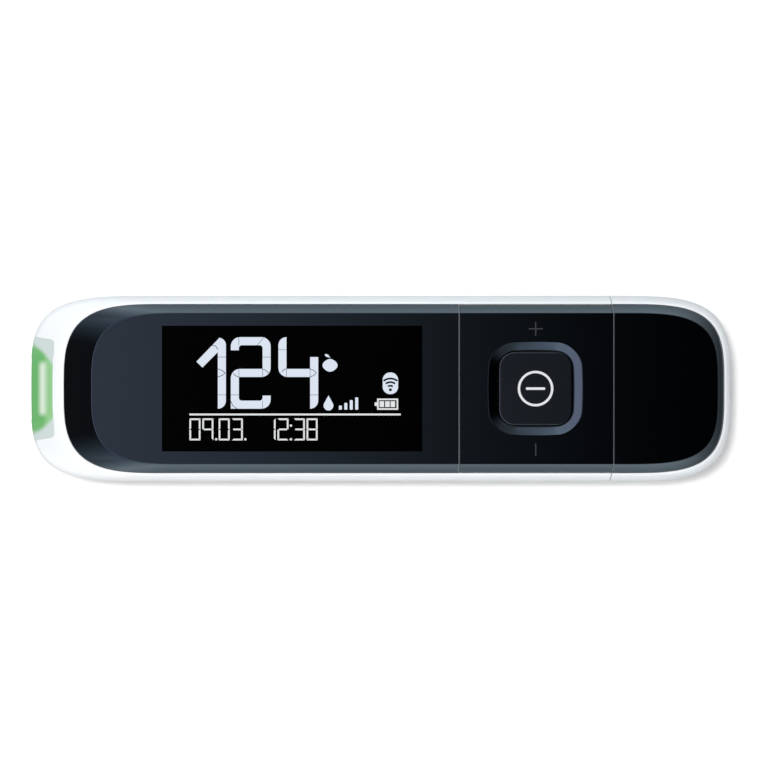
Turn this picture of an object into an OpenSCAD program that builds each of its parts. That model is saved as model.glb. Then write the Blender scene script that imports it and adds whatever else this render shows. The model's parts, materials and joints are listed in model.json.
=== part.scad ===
// Stick-shaped blood glucose meter with a lit strip port in its nose, a display,
// a power key set in a +/- rocker, and a pull-off cap over a USB plug.
// X runs along the meter with the strip port at -X, Y runs across it, Z up from the table.

/* [Body] */
// Length over the nose and the cap
body_len = 105.5; // [104:0.5:110]
// Width at the widest line
body_w = 28; // [27.8:0.1:30]
// Height of the flat panel above the table
body_h = 16; // [15.8:0.1:17.5]
// Thickness of the moulded side walls
wall = 1.4; // [1.2:0.05:1.5]
// Thickness of the floor
floor_t = 1.4; // [1.2:0.1:1.6]

/* [Nose and tail] */
// How far the nose draws back between the widest line and the panel rim
nose_rake = 5.55; // [5:0.05:6]
// How far the nose draws back between the widest line and the table
nose_rise = 8; // [6:0.25:9]
// Length over which the nose narrows at the widest line
nose_blend = 19.6; // [17:0.2:21]
// Squareness of the nose at the widest line
nose_power = 3.9; // [3.4:0.1:4.4]
// How far the sides draw in between the widest line and the panel rim
side_rake = 1.25; // [1:0.05:1.4]
// How far the sides and the tail draw in between the widest line and the table
side_round = 3.8; // [3:0.1:4]
// How far the tail draws back between the widest line and the panel rim
tail_rake = 1.45; // [1:0.05:2]
// Length over which the tail narrows at the widest line
tail_blend = 17.5; // [16:0.1:18]
// Squareness of the tail
tail_power = 3.7; // [3.3:0.1:4.2]

/* [Panel] */
// Height of the bevel round the panel
bevel_h = 2.7; // [2.5:0.05:2.8]
// Width of the bevel along the sides and at the tail
bevel_w = 1.37; // [1.2:0.01:1.6]
// Width of the bevel at the nose
nose_bevel_w = 4.5; // [3.5:0.1:5]
// Length over which the panel narrows at the nose
panel_nose_blend = 15.4; // [14:0.1:17]
// Squareness of the panel at the nose
panel_nose_power = 3.4; // [3:0.1:4]
// Length over which the panel narrows at the tail
panel_tail_blend = 15.7; // [14.5:0.1:17]
// Thickness of the panel pieces
panel_t = 1.5; // [1.3:0.05:1.6]
// Depth that the panel pieces reach below the rim
skirt_h = 0.8; // [0.7:0.05:1]
// Width of the white lip round the panel
lip_w = 0.2; // [0.15:0.05:0.3]
// Thickness of the shelf that carries the panel pieces
shelf_t = 1.2; // [1:0.1:1.4]
// Width of the band that the panel pieces rest on
seat_w = 2.1; // [1.9:0.05:2.15]

/* [Cap and keys] */
// Length of the cap
cap_len = 18.4; // [18.2:0.1:20]
// Length of the rocker with its seams
key_len = 22.7; // [22.6:0.1:24]
// Width of the seams between panel pieces
seam_gap = 0.2; // [0.15:0.05:0.25]
// Width of the dished ring round the power key
dish_w = 13.75; // [13.6:0.05:14.2]
// Corner radius of the dished ring
dish_r = 3.6; // [3.2:0.1:4]
// Depth of the dished ring
dish_depth = 0.5; // [0.4:0.05:0.7]
// Width of the power key
key_w = 10.8; // [10.2:0.1:11]
// Distance from the middle of the rocker to the power key, towards the display
key_offset = 0.12; // [0:0.02:0.2]
// Corner radius of the power key
key_r = 2.1; // [1.8:0.1:2.5]
// Height of the power key's face below the panel
key_drop = 0.25; // [0.15:0.05:0.4]
// Gap round the power key
key_gap = 0.25; // [0.2:0.05:0.3]
// Thickness of the power key
key_t = 2; // [1.6:0.1:2.1]
// Radius of the power key's stem
stem_r = 2.2; // [2:0.1:2.5]
// Running clearance of pins and stems
run_gap = 0.06; // [0.04:0.01:0.08]
// Radius of the rocker's pins
pin_r = 0.45; // [0.4:0.01:0.48]
// Distance from the side of the meter to the + and - plungers
mark_side = 5.1; // [5:0.05:5.4]

/* [Display] */
// Distance from the nose to the display window
window_to_nose = 20.7; // [20.4:0.1:23]
// Distance from the side of the meter to the display window
window_side = 4.8; // [4.7:0.05:5.2]
// Distance from the display window to the rocker
window_to_key = 5.5; // [5:0.1:6]
// Thickness of the flange round the window
flange_t = 0.6; // [0.5:0.05:0.7]
// Width of the flange round the window
flange_w = 1; // [0.9:0.01:1]
// Thickness of the foam gasket on the display glass
gasket_t = 0.4; // [0.3:0.05:0.5]
// Thickness of the display glass
glass_t = 1.1; // [0.9:0.1:1.2]
// Thickness of the backlight
light_t = 2; // [1.6:0.1:2.2]

/* [Board and battery] */
// How far the ends of the battery cell lie inside those of the display window
cell_inset = 2.1; // [1.5:0.1:4]
// Distance from the side of the meter to the battery cell
cell_side = 5; // [5:0.1:6]
// Distance from the widest line down to the main board's underside
board_drop = 1.7; // [1.5:0.05:1.9]
// Thickness of the adhesive pad below the cell
pad_t = 0.3; // [0.2:0.05:0.4]
// Room left over the cell for it to swell
swell_gap = 0.8; // [0.5:0.05:1]
// Thickness of the main board
board_t = 1; // [0.8:0.05:1.2]
// Distance from the side of the meter to the main board
board_side = 3.2; // [3:0.05:3.5]

/* [Strip port and USB plug] */
// Width of the light guide at the slot
guide_w = 16.1; // [15:0.1:17]
// Narrowing of the light guide towards its upper and lower edges, on each side
guide_taper = 0.8; // [0.4:0.05:1]
// Thickness of the light guide
guide_t = 1.6; // [1.5:0.05:1.8]
// Width of the strip slot
slot_w = 8.8; // [8:0.1:9.2]
// Height of the strip slot
slot_h = 1; // [0.8:0.05:1.1]
// Width of the USB plug's shell
usb_w = 12; // [11.8:0.1:12.2]
// Height of the USB plug's shell
usb_h = 4.5; // [4.4:0.05:4.6]
// Thickness of the USB plug's shell
usb_t = 0.3; // [0.25:0.05:0.35]
// Length of the collar that the cap slides over
collar_len = 3.6; // [3:0.1:4]
// Clearance between the collar and the cap
cap_gap = 0.15; // [0.1:0.01:0.2]

/* [Screws] */
// Distance from the side of the meter to the case screws
screw_side = 4.6; // [4.4:0.05:4.8]
// Radius of the case screws
screw_r = 0.8; // [0.7:0.05:0.9]
// Radius of the screw heads
head_r = 1.5; // [1.4:0.05:1.6]
// Height of the screw heads
head_t = 0.9; // [0.8:0.05:1]
// Radius of the screw posts
post_r = 1.9; // [1.8:0.05:2]

/* [Hidden] */
$fn = 48;

// Points round each end, slices below the widest line and slices above it
end_steps = 32;
low_steps = 6;
high_steps = 4;
bevel_steps = 3;
// Squareness of the rounding between the widest line and the table
base_power = 2.4;
// How much the bevel bulges over a flat chamfer, as a share of its height
bevel_bulge = 0.04;

// Stations along the meter
nose_x = -body_len / 2;
tail_x = body_len / 2;
cap_seam_x = tail_x - cap_len;
key_seam_x = cap_seam_x - key_len;
case_end_x = cap_seam_x - seam_gap / 2;
cap_mouth_x = cap_seam_x + seam_gap / 2;
key_x = (cap_seam_x + key_seam_x) / 2 - key_offset;
window_x0 = nose_x + window_to_nose;
window_x1 = key_seam_x - window_to_key;
window_len = window_x1 - window_x0;
window_w = body_w - 2 * window_side;
display_x = (window_x0 + window_x1) / 2;

// Heights of the case and panel; the two case halves meet at the widest line
waist_z = body_h / 2;
rim_z = body_h - bevel_h;
shelf_z = rim_z - skirt_h;
shelf_low_z = shelf_z - shelf_t;
panel_low_z = body_h - panel_t;

// Outlines, each as [end of the X axis, half width, blend length, squareness]
nose_waist = [nose_x, body_w / 2, nose_blend, nose_power];
nose_base = [nose_x + nose_rise, body_w / 2 - side_round, nose_blend - nose_rise, nose_power];
nose_rim = [nose_x + nose_rake, body_w / 2 - side_rake, panel_nose_blend + lip_w, panel_nose_power];
tail_waist = [tail_x, body_w / 2, tail_blend, tail_power];
tail_base = [tail_x - side_round, body_w / 2 - side_round, tail_blend - side_round, tail_power];
tail_rim = [tail_x - tail_rake, body_w / 2 - side_rake, panel_tail_blend + lip_w, tail_power];
panel_gap = 0.05;
nose_edge = shrunk(nose_rim, lip_w + panel_gap);
tail_edge = shrunk(tail_rim, lip_w + panel_gap);
nose_flat = nose_edge + [nose_bevel_w, -bevel_w, 0, 0];
tail_flat = tail_edge + [-bevel_w, -bevel_w, 0, 0];
inner_half_w = nose_edge[1] - seat_w;
opening = [nose_flat[0] - 0.6, inner_half_w, nose_flat[2] - 1, nose_flat[3]];

// Heights of the board, the battery, the display and the keys
board_z = waist_z - board_drop;
board_top = board_z + board_t;
cell_z = floor_t + pad_t;
cell_t = board_z - swell_gap - cell_z;
glass_z = panel_low_z - flange_t - gasket_t - glass_t;
light_z = glass_z - light_t;
slot_z = board_top + 0.8;
usb_z = board_top + 0.7;
pivot_z = panel_low_z - pin_r - 0.6;
rocker_low_z = pivot_z - pin_r;
deck_t = 1;
deck_z = shelf_low_z;
nub_h = 0.6;
nub_top = deck_z - 1.4;
switch_h = nub_top - nub_h - board_top;
press_gap = 0.4;
power_switch_w = 4.6;
mark_switch_w = 3.4;
mark_y = body_w / 2 - mark_side;

// The rocker and what carries it
rocker_x0 = key_seam_x + seam_gap / 2;
rocker_x1 = case_end_x;
rocker_gap = 0.12;
rocker_half_w = nose_rim[1] - lip_w - rocker_gap;
rocker_wall = 1.2;
lug_gap = 0.25;
lug_t = 1.2;
lug_w = 3.2;
collar_w = dish_w + 0.8;
collar_z = panel_low_z - 0.7;
shelf_bar = 1.4;

// The display's parts
glass_len = window_len + 2.2;
glass_w = window_w + 0.8;
frame_len = glass_len + 1.5;
frame_w = glass_w + 1;
frame_deck_t = 0.8;
ledge_len = 2;

// The board and what stands on it
board_x0 = nose_x + 6.75;
board_x1 = case_end_x - 1.05;
board_r = 4;
chip_t = 0.9;
antenna_len = 3.2;
board_w = body_w - 2 * board_side;
screw_x = [nose_x + 15.75, cap_seam_x - 4.85];
screw_y = body_w / 2 - screw_side;
screw_hole_r = screw_r + 0.2;
bite_r = screw_r + 0.02;
head_hole_r = head_r + 0.2;
head_hole_d = 1.2;
screw_top = shelf_low_z - 0.8;
cross_w = 1.6;
cross_t = 0.4;
cell_x0 = window_x0 + cell_inset;
cell_x1 = window_x1 - cell_inset;
cell_w = body_w - 2 * cell_side;
cell_board_t = 1.2;
flex_t = 0.15;
flex_w = window_w - 5.4;
flex_bend = 1.5;
flex_out = 1.5;
flex_foot = 1.2;
connector_h = 1.6;

// The strip port and the USB plug
guide_half_h = shelf_z - 0.05 - slot_z;
guide_edge_r = 1;
guide_back_x = nose_x + 4.8;
led_y = guide_w / 2 - 1.3;
led_w = 1.8;
strip_len = 9.9;
strip_wall = 0.8;
strip_roof = 1.6;
contact_pitch = 1.7;
strip_x0 = nose_x + guide_t + 1;
strip_x1 = strip_x0 + strip_len;
usb_gap = 0.15;
usb_pitch = 2.3;
usb_back = 2.6;
usb_block = 3.4;
usb_x0 = board_x1 + 0.3;
usb_x1 = tail_x - 2.75;
collar_x = case_end_x + collar_len;
bay_half_w = body_w / 2 - 1.7;
bay_low_z = floor_t + 0.2;
bay_high_z = shelf_z - 0.7;
bay_r = 3.5;

function mix(a, b, t) = a + (b - a) * t;
function signed_pow(v, p) = sign(v) * pow(abs(v), p);

// An outline drawn in by d all round
function shrunk(spec, d) = [spec[0] - sign(spec[0]) * d, spec[1] - d, spec[2] - d, spec[3]];

// One closed ring at height z: a square cut at x_cut and a superelliptic end
function ring(spec, x_cut, z) =
    let (side = sign(spec[0] - x_cut), e = 2 / spec[3],
         blend = min(spec[2], abs(spec[0] - x_cut) - 0.3))
    concat(
        [[x_cut, -side * spec[1], z]],
        [for (k = [0:end_steps])
            let (t = -90 + 180 * k / end_steps)
            [spec[0] - side * blend * (1 - pow(cos(t), e)),
             side * spec[1] * signed_pow(sin(t), e), z]],
        [[x_cut, side * spec[1], z]]);

// Outline of the case at height z, between its base, its widest line and its rim
function draw_in(z) = 1 - pow(1 - pow((waist_z - z) / waist_z, base_power), 1 / base_power);
function outline(waist, base, rim, z) =
    z < waist_z
        ? mix(waist, base, draw_in(z))
        : mix(waist, rim, pow((z - waist_z) / (rim_z - waist_z), 2));

// Heights of the slices, closer together where the base curls under
function low_levels() =
    [for (i = [0:low_steps]) waist_z * (1 - pow(cos(90 * i / low_steps), 2 / base_power))];
function levels(z0, z1, steps) = [for (i = [0:steps]) mix(z0, z1, i / steps)];

// Rings of the bevel from the foot of a panel piece up to its flat
function panel_rings(edge, flat, x_cut) =
    concat(
        [ring(edge, x_cut, shelf_z)],
        [for (i = [0:bevel_steps])
            let (s = i / bevel_steps)
            ring(mix(edge, flat, s), x_cut, rim_z + bevel_h * (s + 4 * bevel_bulge * s * (1 - s)))]);

// Rounded square ring of width w and corner radius r
function square_ring(w, r, z) =
    [for (q = [0:3], k = [0:6])
        let (a = 90 * q + 15 * k, c = w / 2 - r,
             sx = (q == 0 || q == 3) ? 1 : -1, sy = q < 2 ? 1 : -1)
        [sx * c + r * cos(a), sy * c + r * sin(a), z]];

// Solid through a list of rings that have the same number of points
module skin(rings) {
    n = len(rings[0]);
    last = (len(rings) - 1) * n;
    polyhedron(
        points = [for (r = rings, p = r) p],
        faces = concat(
            [[for (j = [0:n - 1]) j]],
            [for (i = [0:len(rings) - 2], j = [0:n - 1])
                let (a = i * n + j, b = i * n + (j + 1) % n)
                each [[a, a + n, b + n], [a, b + n, b]]],
            [[for (j = [n - 1:-1:0]) last + j]]));
}

// Block between two corners
module block(low, high) {
    translate(low) cube(high - low);
}

// Flat plate centred on Y = 0, with rounded corners
module plate(x0, x1, w, z0, z1, r) {
    translate([(x0 + x1) / 2, 0, z0])
        linear_extrude(z1 - z0)
            offset(r = r, $fn = 32) square([x1 - x0 - 2 * r, w - 2 * r], center = true);
}

// Profile drawn in Y and Z, run along X
module along_x(x0, x1) {
    translate([x0, 0, 0]) rotate([90, 0, 90]) linear_extrude(x1 - x0) children();
}

// Profile drawn in X and Z, run along Y
module along_y(w) {
    translate([0, w / 2, 0]) rotate([90, 0, 0]) linear_extrude(w) children();
}

// Section of the bay inside the cap, drawn in by d
module bay_section(d) {
    translate([0, (bay_low_z + bay_high_z) / 2])
        offset(r = bay_r, $fn = 32)
            square([2 * (bay_half_w - bay_r - d), bay_high_z - bay_low_z - 2 * (bay_r + d)],
                   center = true);
}

// Front outline of the light guide, grown by d
module guide_section(d) {
    offset(r = guide_edge_r + d, $fn = 32)
        offset(delta = -guide_edge_r)
            polygon([for (s = [[1, 0], [1, 1], [-1, 1], [-1, 0], [-1, -1], [1, -1]])
                [s[0] * (guide_w / 2 - guide_taper * abs(s[1])), slot_z + guide_half_h * s[1]]]);
}

// Hole through the nose for the light guide
module guide_hole() {
    along_x(nose_x - 1, guide_back_x) guide_section(0.05);
}

// Opening under the display bezel, between two heights
module display_opening(z0, z1) {
    translate([0, 0, z0]) linear_extrude(z1 - z0)
        polygon([for (p = ring(opening, key_seam_x - shelf_bar, 0)) [p[0], p[1]]]);
}

// Places of the four case screws
module at_screws() {
    for (x = screw_x, side = [-1, 1])
        translate([x, side * screw_y, 0]) children();
}

// Collar that the cap slides over, hollow and open for the plug
module collar() {
    difference() {
        along_x(case_end_x - 0.4, collar_x) bay_section(cap_gap);
        along_x(case_end_x - 1, collar_x - wall) bay_section(cap_gap + wall);
    }
}

// Way for the USB plug through the end of the case
module plug_hole() {
    along_x(case_end_x - wall - 1, collar_x - wall) bay_section(cap_gap + wall);
    block([case_end_x - 1, -usb_w / 2 - usb_gap, usb_z - usb_h / 2 - usb_gap],
          [collar_x + 1, usb_w / 2 + usb_gap, usb_z + usb_h / 2 + usb_gap]);
}

// Gussets beside the walls that the main board rests on
module board_rests() {
    rest_in = board_w / 2 - 0.8;
    rest_out = body_w / 2 - wall + 0.3;
    rest_x = [mix(window_x0, window_x1, 0.2), mix(window_x0, window_x1, 0.7), key_x - 6];
    for (x = rest_x, side = [0, 1])
        mirror([0, side, 0]) along_x(x - 1.2, x + 1.2)
            polygon([[rest_in, floor_t - 0.3], [rest_out - 1.2, floor_t - 0.3],
                     [rest_out, floor_t + 2.2], [rest_out, board_z], [rest_in, board_z]]);
}

module lower_case() {
    inner_levels = [for (z = levels(waist_z, floor_t, 4)) z];
    color("whitesmoke") difference() {
        union() {
            skin(concat(
                [for (z = low_levels())
                    ring(outline(nose_waist, nose_base, nose_rim, z), case_end_x, z)],
                [for (z = inner_levels)
                    ring(shrunk(outline(nose_waist, nose_base, nose_rim, z), wall),
                         case_end_x - wall, z)]));
            board_rests();
            for (side = [-1, 1])
                block([cell_x0 + 3, side * (cell_w / 2 + 0.6) - 0.35, floor_t - 0.3],
                      [cell_x1 - 3, side * (cell_w / 2 + 0.6) + 0.35, floor_t + 2.2]);
            at_screws() {
                translate([0, 0, floor_t - 0.5]) cylinder(r = post_r, h = waist_z - 0.1 - floor_t + 0.5);
                translate([0, 0, floor_t - 0.5]) cylinder(r = post_r + 0.7, h = 1.5);
            }
            intersection() {
                collar();
                block([0, -body_w, 0], [tail_x, body_w, waist_z]);
            }
        }
        at_screws() {
            translate([0, 0, -1]) cylinder(r = head_hole_r, h = 1 + head_hole_d);
            cylinder(r = screw_hole_r, h = waist_z + 1);
        }
        plug_hole();
        guide_hole();
    }
}

module upper_case() {
    color("whitesmoke") difference() {
        union() {
            difference() {
                skin([for (z = levels(waist_z, rim_z, high_steps))
                    ring(outline(nose_waist, nose_base, nose_rim, z), case_end_x, z)]);
                skin([for (z = levels(waist_z, shelf_low_z, 3))
                    ring(shrunk(outline(nose_waist, nose_base, nose_rim, z), wall),
                         case_end_x - wall, z == waist_z ? z - 1 : z)]);
                translate([0, 0, shelf_z]) linear_extrude(bevel_h)
                    polygon([for (p = ring(shrunk(nose_rim, lip_w), case_end_x + 1, 0)) [p[0], p[1]]]);
                display_opening(shelf_low_z - 1, shelf_z + 1);
                plate(key_seam_x + shelf_bar, case_end_x - wall, 2 * inner_half_w,
                      shelf_low_z - 1, shelf_z + 1, 1);
            }
            at_screws() translate([0, 0, waist_z]) cylinder(r = post_r, h = shelf_z - 0.2 - waist_z);
            intersection() {
                collar();
                block([0, -body_w, waist_z], [tail_x, body_w, body_h]);
            }
        }
        at_screws() translate([0, 0, waist_z - 1]) cylinder(r = bite_r, h = screw_top - waist_z + 1.3);
        plug_hole();
        guide_hole();
    }
}

module display_bezel() {
    color("darkslategray") difference() {
        skin(panel_rings(nose_edge, nose_flat, key_seam_x - seam_gap / 2));
        display_opening(shelf_z - 1, panel_low_z);
        block([window_x0, -window_w / 2, panel_low_z - 1], [window_x1, window_w / 2, body_h + 1]);
    }
}

module display_window() {
    fit = 0.05;
    color("black") union() {
        block([window_x0 + fit, -window_w / 2 + fit, panel_low_z - 0.2],
              [window_x1 - fit, window_w / 2 - fit, body_h]);
        block([window_x0 - flange_w, -window_w / 2 - flange_w, panel_low_z - flange_t],
              [window_x1 + flange_w, window_w / 2 + flange_w, panel_low_z]);
    }
}

// Section of the rocker across the meter
module rocker_section() {
    side = [for (i = [0:bevel_steps])
        let (s = i / bevel_steps)
        [rocker_half_w - (bevel_w - rocker_gap + panel_gap) * s,
         rim_z + bevel_h * (s + 4 * bevel_bulge * s * (1 - s))]];
    polygon(concat(
        [[-rocker_half_w, rocker_low_z], [rocker_half_w, rocker_low_z]],
        side,
        [for (i = [bevel_steps:-1:0]) [-side[i][0], side[i][1]]]));
}

module rocker_plate() {
    hole_w = key_w + 2 * key_gap;
    hole_r = key_r + key_gap;
    color("black") difference() {
        union() {
            difference() {
                along_x(rocker_x0, rocker_x1) rocker_section();
                block([rocker_x0 + rocker_wall, -inner_half_w, rocker_low_z - 1],
                      [rocker_x1 - rocker_wall, inner_half_w, panel_low_z]);
            }
            translate([key_x, 0, 0])
                plate(-collar_w / 2, collar_w / 2, collar_w, collar_z, panel_low_z + 0.3, dish_r);
            for (end = [-1, 1])
                translate([end < 0 ? rocker_x0 + rocker_wall / 2 : rocker_x1 - rocker_wall / 2, 0, pivot_z])
                    rotate([0, end * -90, 0])
                        cylinder(r = pin_r, h = rocker_wall / 2 + lug_gap + lug_t);
            for (side = [-1, 1])
                translate([key_x, side * mark_y, nub_top + press_gap])
                    cylinder(r = 0.9, h = panel_low_z + 0.3 - nub_top - press_gap);
        }
        translate([key_x, 0, 0]) {
            skin([for (i = [0:4])
                let (s = i / 4, drop = cos(90 * s))
                square_ring(mix(hole_w, dish_w, s), mix(hole_r, dish_r, s),
                            body_h + (s == 1 ? 0.01 : 0) - dish_depth * drop)]);
            plate(-hole_w / 2, hole_w / 2, hole_w, collar_z - 1, body_h, hole_r);
        }
    }
}

module power_button() {
    top = body_h - key_drop;
    edge = 0.3;
    color("dimgray") translate([key_x, 0, 0]) union() {
        skin([
            square_ring(key_w, key_r, top - key_t),
            square_ring(key_w, key_r, top - edge),
            square_ring(key_w - edge * 0.6, key_r - edge * 0.3, top - edge * 0.3),
            square_ring(key_w - edge * 2, key_r - edge, top)]);
        translate([0, 0, nub_top + press_gap])
            cylinder(r = stem_r, h = top - key_t + 0.4 - nub_top - press_gap);
        translate([0, 0, deck_z - 0.7]) cylinder(r = stem_r + 0.4, h = 0.5);
    }
}

module key_frame() {
    x0 = rocker_x0 + rocker_wall + lug_gap;
    x1 = rocker_x1 - rocker_wall - lug_gap;
    half_w = screw_y - post_r - 0.25;
    leg = 1.6;
    leg_inset = 3;
    color("dimgray") difference() {
        union() {
            block([x0, -half_w, deck_z], [x1, half_w, deck_z + deck_t]);
            for (x = [x0 + leg_inset, x1 - leg_inset - leg], y = [-half_w, half_w - leg])
                block([x, y, board_top], [x + leg, y + leg, deck_z + 0.2]);
            for (x = [x0, x1 - lug_t])
                block([x, -lug_w / 2, deck_z + 0.2], [x + lug_t, lug_w / 2, panel_low_z - 0.15]);
        }
        translate([key_x, 0, deck_z - 1]) cylinder(r = stem_r + run_gap, h = deck_t + 2);
        translate([x0 - 1, 0, pivot_z]) rotate([0, 90, 0])
            cylinder(r = pin_r + run_gap, h = x1 - x0 + 2);
    }
}

module cap_shell() {
    color("whitesmoke") difference() {
        skin(concat(
            [for (z = low_levels()) ring(outline(tail_waist, tail_base, tail_rim, z), cap_mouth_x, z)],
            [for (z = levels(waist_z, rim_z, high_steps))
                if (z > waist_z) ring(outline(tail_waist, tail_base, tail_rim, z), cap_mouth_x, z)]));
        translate([0, 0, shelf_z]) linear_extrude(bevel_h)
            polygon([for (p = ring(shrunk(tail_rim, lip_w), cap_mouth_x - 1, 0)) [p[0], p[1]]]);
        intersection() {
            along_x(cap_mouth_x - 1, tail_x) bay_section(0);
            linear_extrude(body_h)
                polygon([for (p = ring(shrunk(tail_rim, 0.05), cap_mouth_x - 1, 0)) [p[0], p[1]]]);
        }
    }
}

module cap_panel() {
    color("black") difference() {
        skin(panel_rings(tail_edge, tail_flat, cap_mouth_x));
        intersection() {
            translate([0, 0, shelf_z - 1]) linear_extrude(panel_low_z - shelf_z + 1)
                polygon([for (p = ring(shrunk(tail_edge, seat_w), cap_mouth_x - 1, 0)) [p[0], p[1]]]);
            block([cap_mouth_x + rocker_wall, -body_w, 0], [tail_x, body_w, body_h]);
        }
    }
}

module port_light_guide() {
    z_levels = concat(
        levels(slot_z - guide_half_h - 0.2, waist_z, 3),
        [for (z = levels(waist_z, slot_z + guide_half_h + 0.2, 3)) if (z > waist_z) z]);
    color("lightgreen") difference() {
        union() {
            difference() {
                intersection() {
                    skin([for (z = z_levels)
                        ring(outline(nose_waist, nose_base, nose_rim, z), guide_back_x + 1, z)]);
                    along_x(nose_x - 1, guide_back_x - 0.1) guide_section(0);
                }
                skin([for (z = concat([z_levels[0] - 1], z_levels, [z_levels[6] + 1]))
                    ring(shrunk(outline(nose_waist, nose_base, nose_rim,
                                        min(max(z, z_levels[0]), z_levels[6])), guide_t),
                         guide_back_x + 2, z)]);
            }
            for (side = [-1, 1])
                translate([0, side * led_y, 0])
                    block([nose_x + guide_t - 0.4, -0.7, board_top + 0.1],
                          [board_x0 - 0.15, 0.7, board_top + 1.4]);
        }
        block([nose_x - 1, -slot_w / 2 - 0.2, slot_z - slot_h / 2 - 0.15],
              [nose_x + guide_t + 1, slot_w / 2 + 0.2, slot_z + slot_h / 2 + 0.15]);
    }
}

module strip_guide() {
    half_w = slot_w / 2 + strip_wall;
    color("dimgray") difference() {
        union() {
            block([strip_x0, -half_w, slot_z - 0.7], [strip_x1, half_w, slot_z + strip_roof]);
            block([board_x0 + 0.1, -half_w, board_top], [strip_x1, half_w, slot_z]);
        }
        block([strip_x0 - 1, -slot_w / 2, slot_z - slot_h / 2],
              [strip_x1 - 1, slot_w / 2, slot_z + slot_h / 2]);
        for (i = [-2:2])
            translate([0, i * contact_pitch, 0])
                block([strip_x1 - 6, -0.5, slot_z], [strip_x1 - 1.4, 0.5, slot_z + strip_roof + 1]);
    }
}

module strip_contacts() {
    color("gold") for (i = [-2:2])
        translate([0, i * contact_pitch, 0]) along_y(0.7)
            polygon([[strip_x1 - 5.4, slot_z + 1.2], [strip_x1 - 1.4, slot_z + 1.2],
                     [strip_x1 - 1.4, slot_z + 1.35], [strip_x1 - 5.4, slot_z + 1.35],
                     [strip_x1 - 5.8, slot_z + 0.9], [strip_x1 - 3.6, slot_z + 0.15],
                     [strip_x1 - 3, slot_z + 0.35], [strip_x1 - 3.6, slot_z + 0.35],
                     [strip_x1 - 5.5, slot_z + 0.98]]);
}

module status_leds() {
    color("palegreen") for (side = [-1, 1])
        translate([board_x0 + 0.8, side * led_y, board_top + 0.55])
            cube([1.2, led_w, 1.1], center = true);
}

module main_board() {
    color("seagreen") difference() {
        plate(board_x0, board_x1, board_w, board_z, board_top, board_r);
        at_screws() translate([0, 0, board_z - 1]) cylinder(r = post_r + 0.4, h = board_t + 2);
    }
}

module board_chips() {
    // Place along the window, place across it and width, as shares of its length and width
    chips = [[-0.4, 0, 0.27], [-0.16, -0.11, 0.38], [0.1, 0.16, 0.33], [0.31, -0.22, 0.22]];
    color("black") for (c = chips)
        translate([display_x + c[0] * window_len, c[1] * window_w, board_top + chip_t / 2])
            cube([c[2] * window_w, c[2] * window_w, chip_t], center = true);
}

module board_passives() {
    pitch = 0.13 * window_len;
    color("tan") for (i = [-3:2], side = [-1, 1])
        translate([display_x + i * pitch, side * (glass_w / 2 - 1.9), board_top + 0.3])
            cube([1.6, 0.8, 0.6], center = true);
}

module radio_antenna() {
    color("ivory")
        translate([board_x0 + 4.6, 1.5 - board_w / 2, board_top + chip_t / 2])
            cube([antenna_len, antenna_len / 2, chip_t], center = true);
}

module lcd_glass() {
    color("midnightblue")
        block([display_x - glass_len / 2, -glass_w / 2, glass_z],
              [display_x + glass_len / 2, glass_w / 2, glass_z + glass_t]);
}

module lcd_backlight() {
    color("aliceblue")
        block([display_x - glass_len / 2 + ledge_len, -glass_w / 2, light_z],
              [display_x + glass_len / 2, glass_w / 2, glass_z]);
}

module lcd_frame() {
    color("lightgray") difference() {
        block([display_x - frame_len / 2, -frame_w / 2, board_top],
              [display_x + frame_len / 2, frame_w / 2, glass_z + glass_t]);
        block([display_x - glass_len / 2 - 0.05, -glass_w / 2 - 0.05, light_z],
              [display_x + glass_len / 2 + 0.05, glass_w / 2 + 0.05, body_h]);
        block([display_x - glass_len / 2 + 0.5, -glass_w / 2 + 0.3, board_top - 1],
              [display_x + glass_len / 2 - 0.5, glass_w / 2 - 0.3, light_z - frame_deck_t]);
        for (i = [-1:1])
            translate([display_x + i * glass_len * 0.3, 0, 0])
                block([-glass_len * 0.11, -glass_w / 2 + 3, light_z - 2],
                      [glass_len * 0.11, glass_w / 2 - 3, light_z + 1]);
        block([display_x - frame_len / 2 - 1, -flex_w / 2 - 0.3, light_z],
              [display_x, flex_w / 2 + 0.3, body_h]);
    }
}

module lcd_gasket() {
    rim = 0.9;
    z = glass_z + glass_t;
    color("dimgray") difference() {
        block([display_x - glass_len / 2, -glass_w / 2, z],
              [display_x + glass_len / 2, glass_w / 2, z + gasket_t]);
        block([display_x - glass_len / 2 + rim, -glass_w / 2 + rim / 2, z - 1],
              [display_x + glass_len / 2 - rim, glass_w / 2 - rim / 2, z + 2]);
    }
}

module lcd_flex() {
    x_tail = display_x - frame_len / 2 - flex_out;
    z_bend = glass_z - flex_bend;
    color("orange") along_y(flex_w) union() {
        translate([x_tail, glass_z - flex_t])
            square([display_x - glass_len / 2 + ledge_len - 0.3 - x_tail, flex_t]);
        translate([x_tail, z_bend]) intersection() {
            difference() {
                circle(r = flex_bend);
                circle(r = flex_bend - flex_t);
            }
            translate([-2 * flex_bend, 0]) square(2 * flex_bend);
        }
        translate([x_tail - flex_bend, board_top + flex_foot])
            square([flex_t, z_bend - board_top - flex_foot]);
    }
}

module flex_connector() {
    x = display_x - frame_len / 2 - flex_out - flex_bend;
    half_w = flex_w / 2 + 0.6;
    color("ivory") difference() {
        block([x - connector_h / 2, -half_w, board_top],
              [x + connector_h / 2 + flex_t, half_w, board_top + connector_h]);
        block([x - 0.1, -flex_w / 2 - 0.1, board_top + flex_foot],
              [x + flex_t + 0.1, flex_w / 2 + 0.1, board_top + connector_h + 1]);
    }
}

module battery_pad() {
    color("gray")
        block([cell_x0 + 2, -cell_w / 2 + 2, floor_t], [cell_x1 - 2, cell_w / 2 - 2, cell_z]);
}

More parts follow.
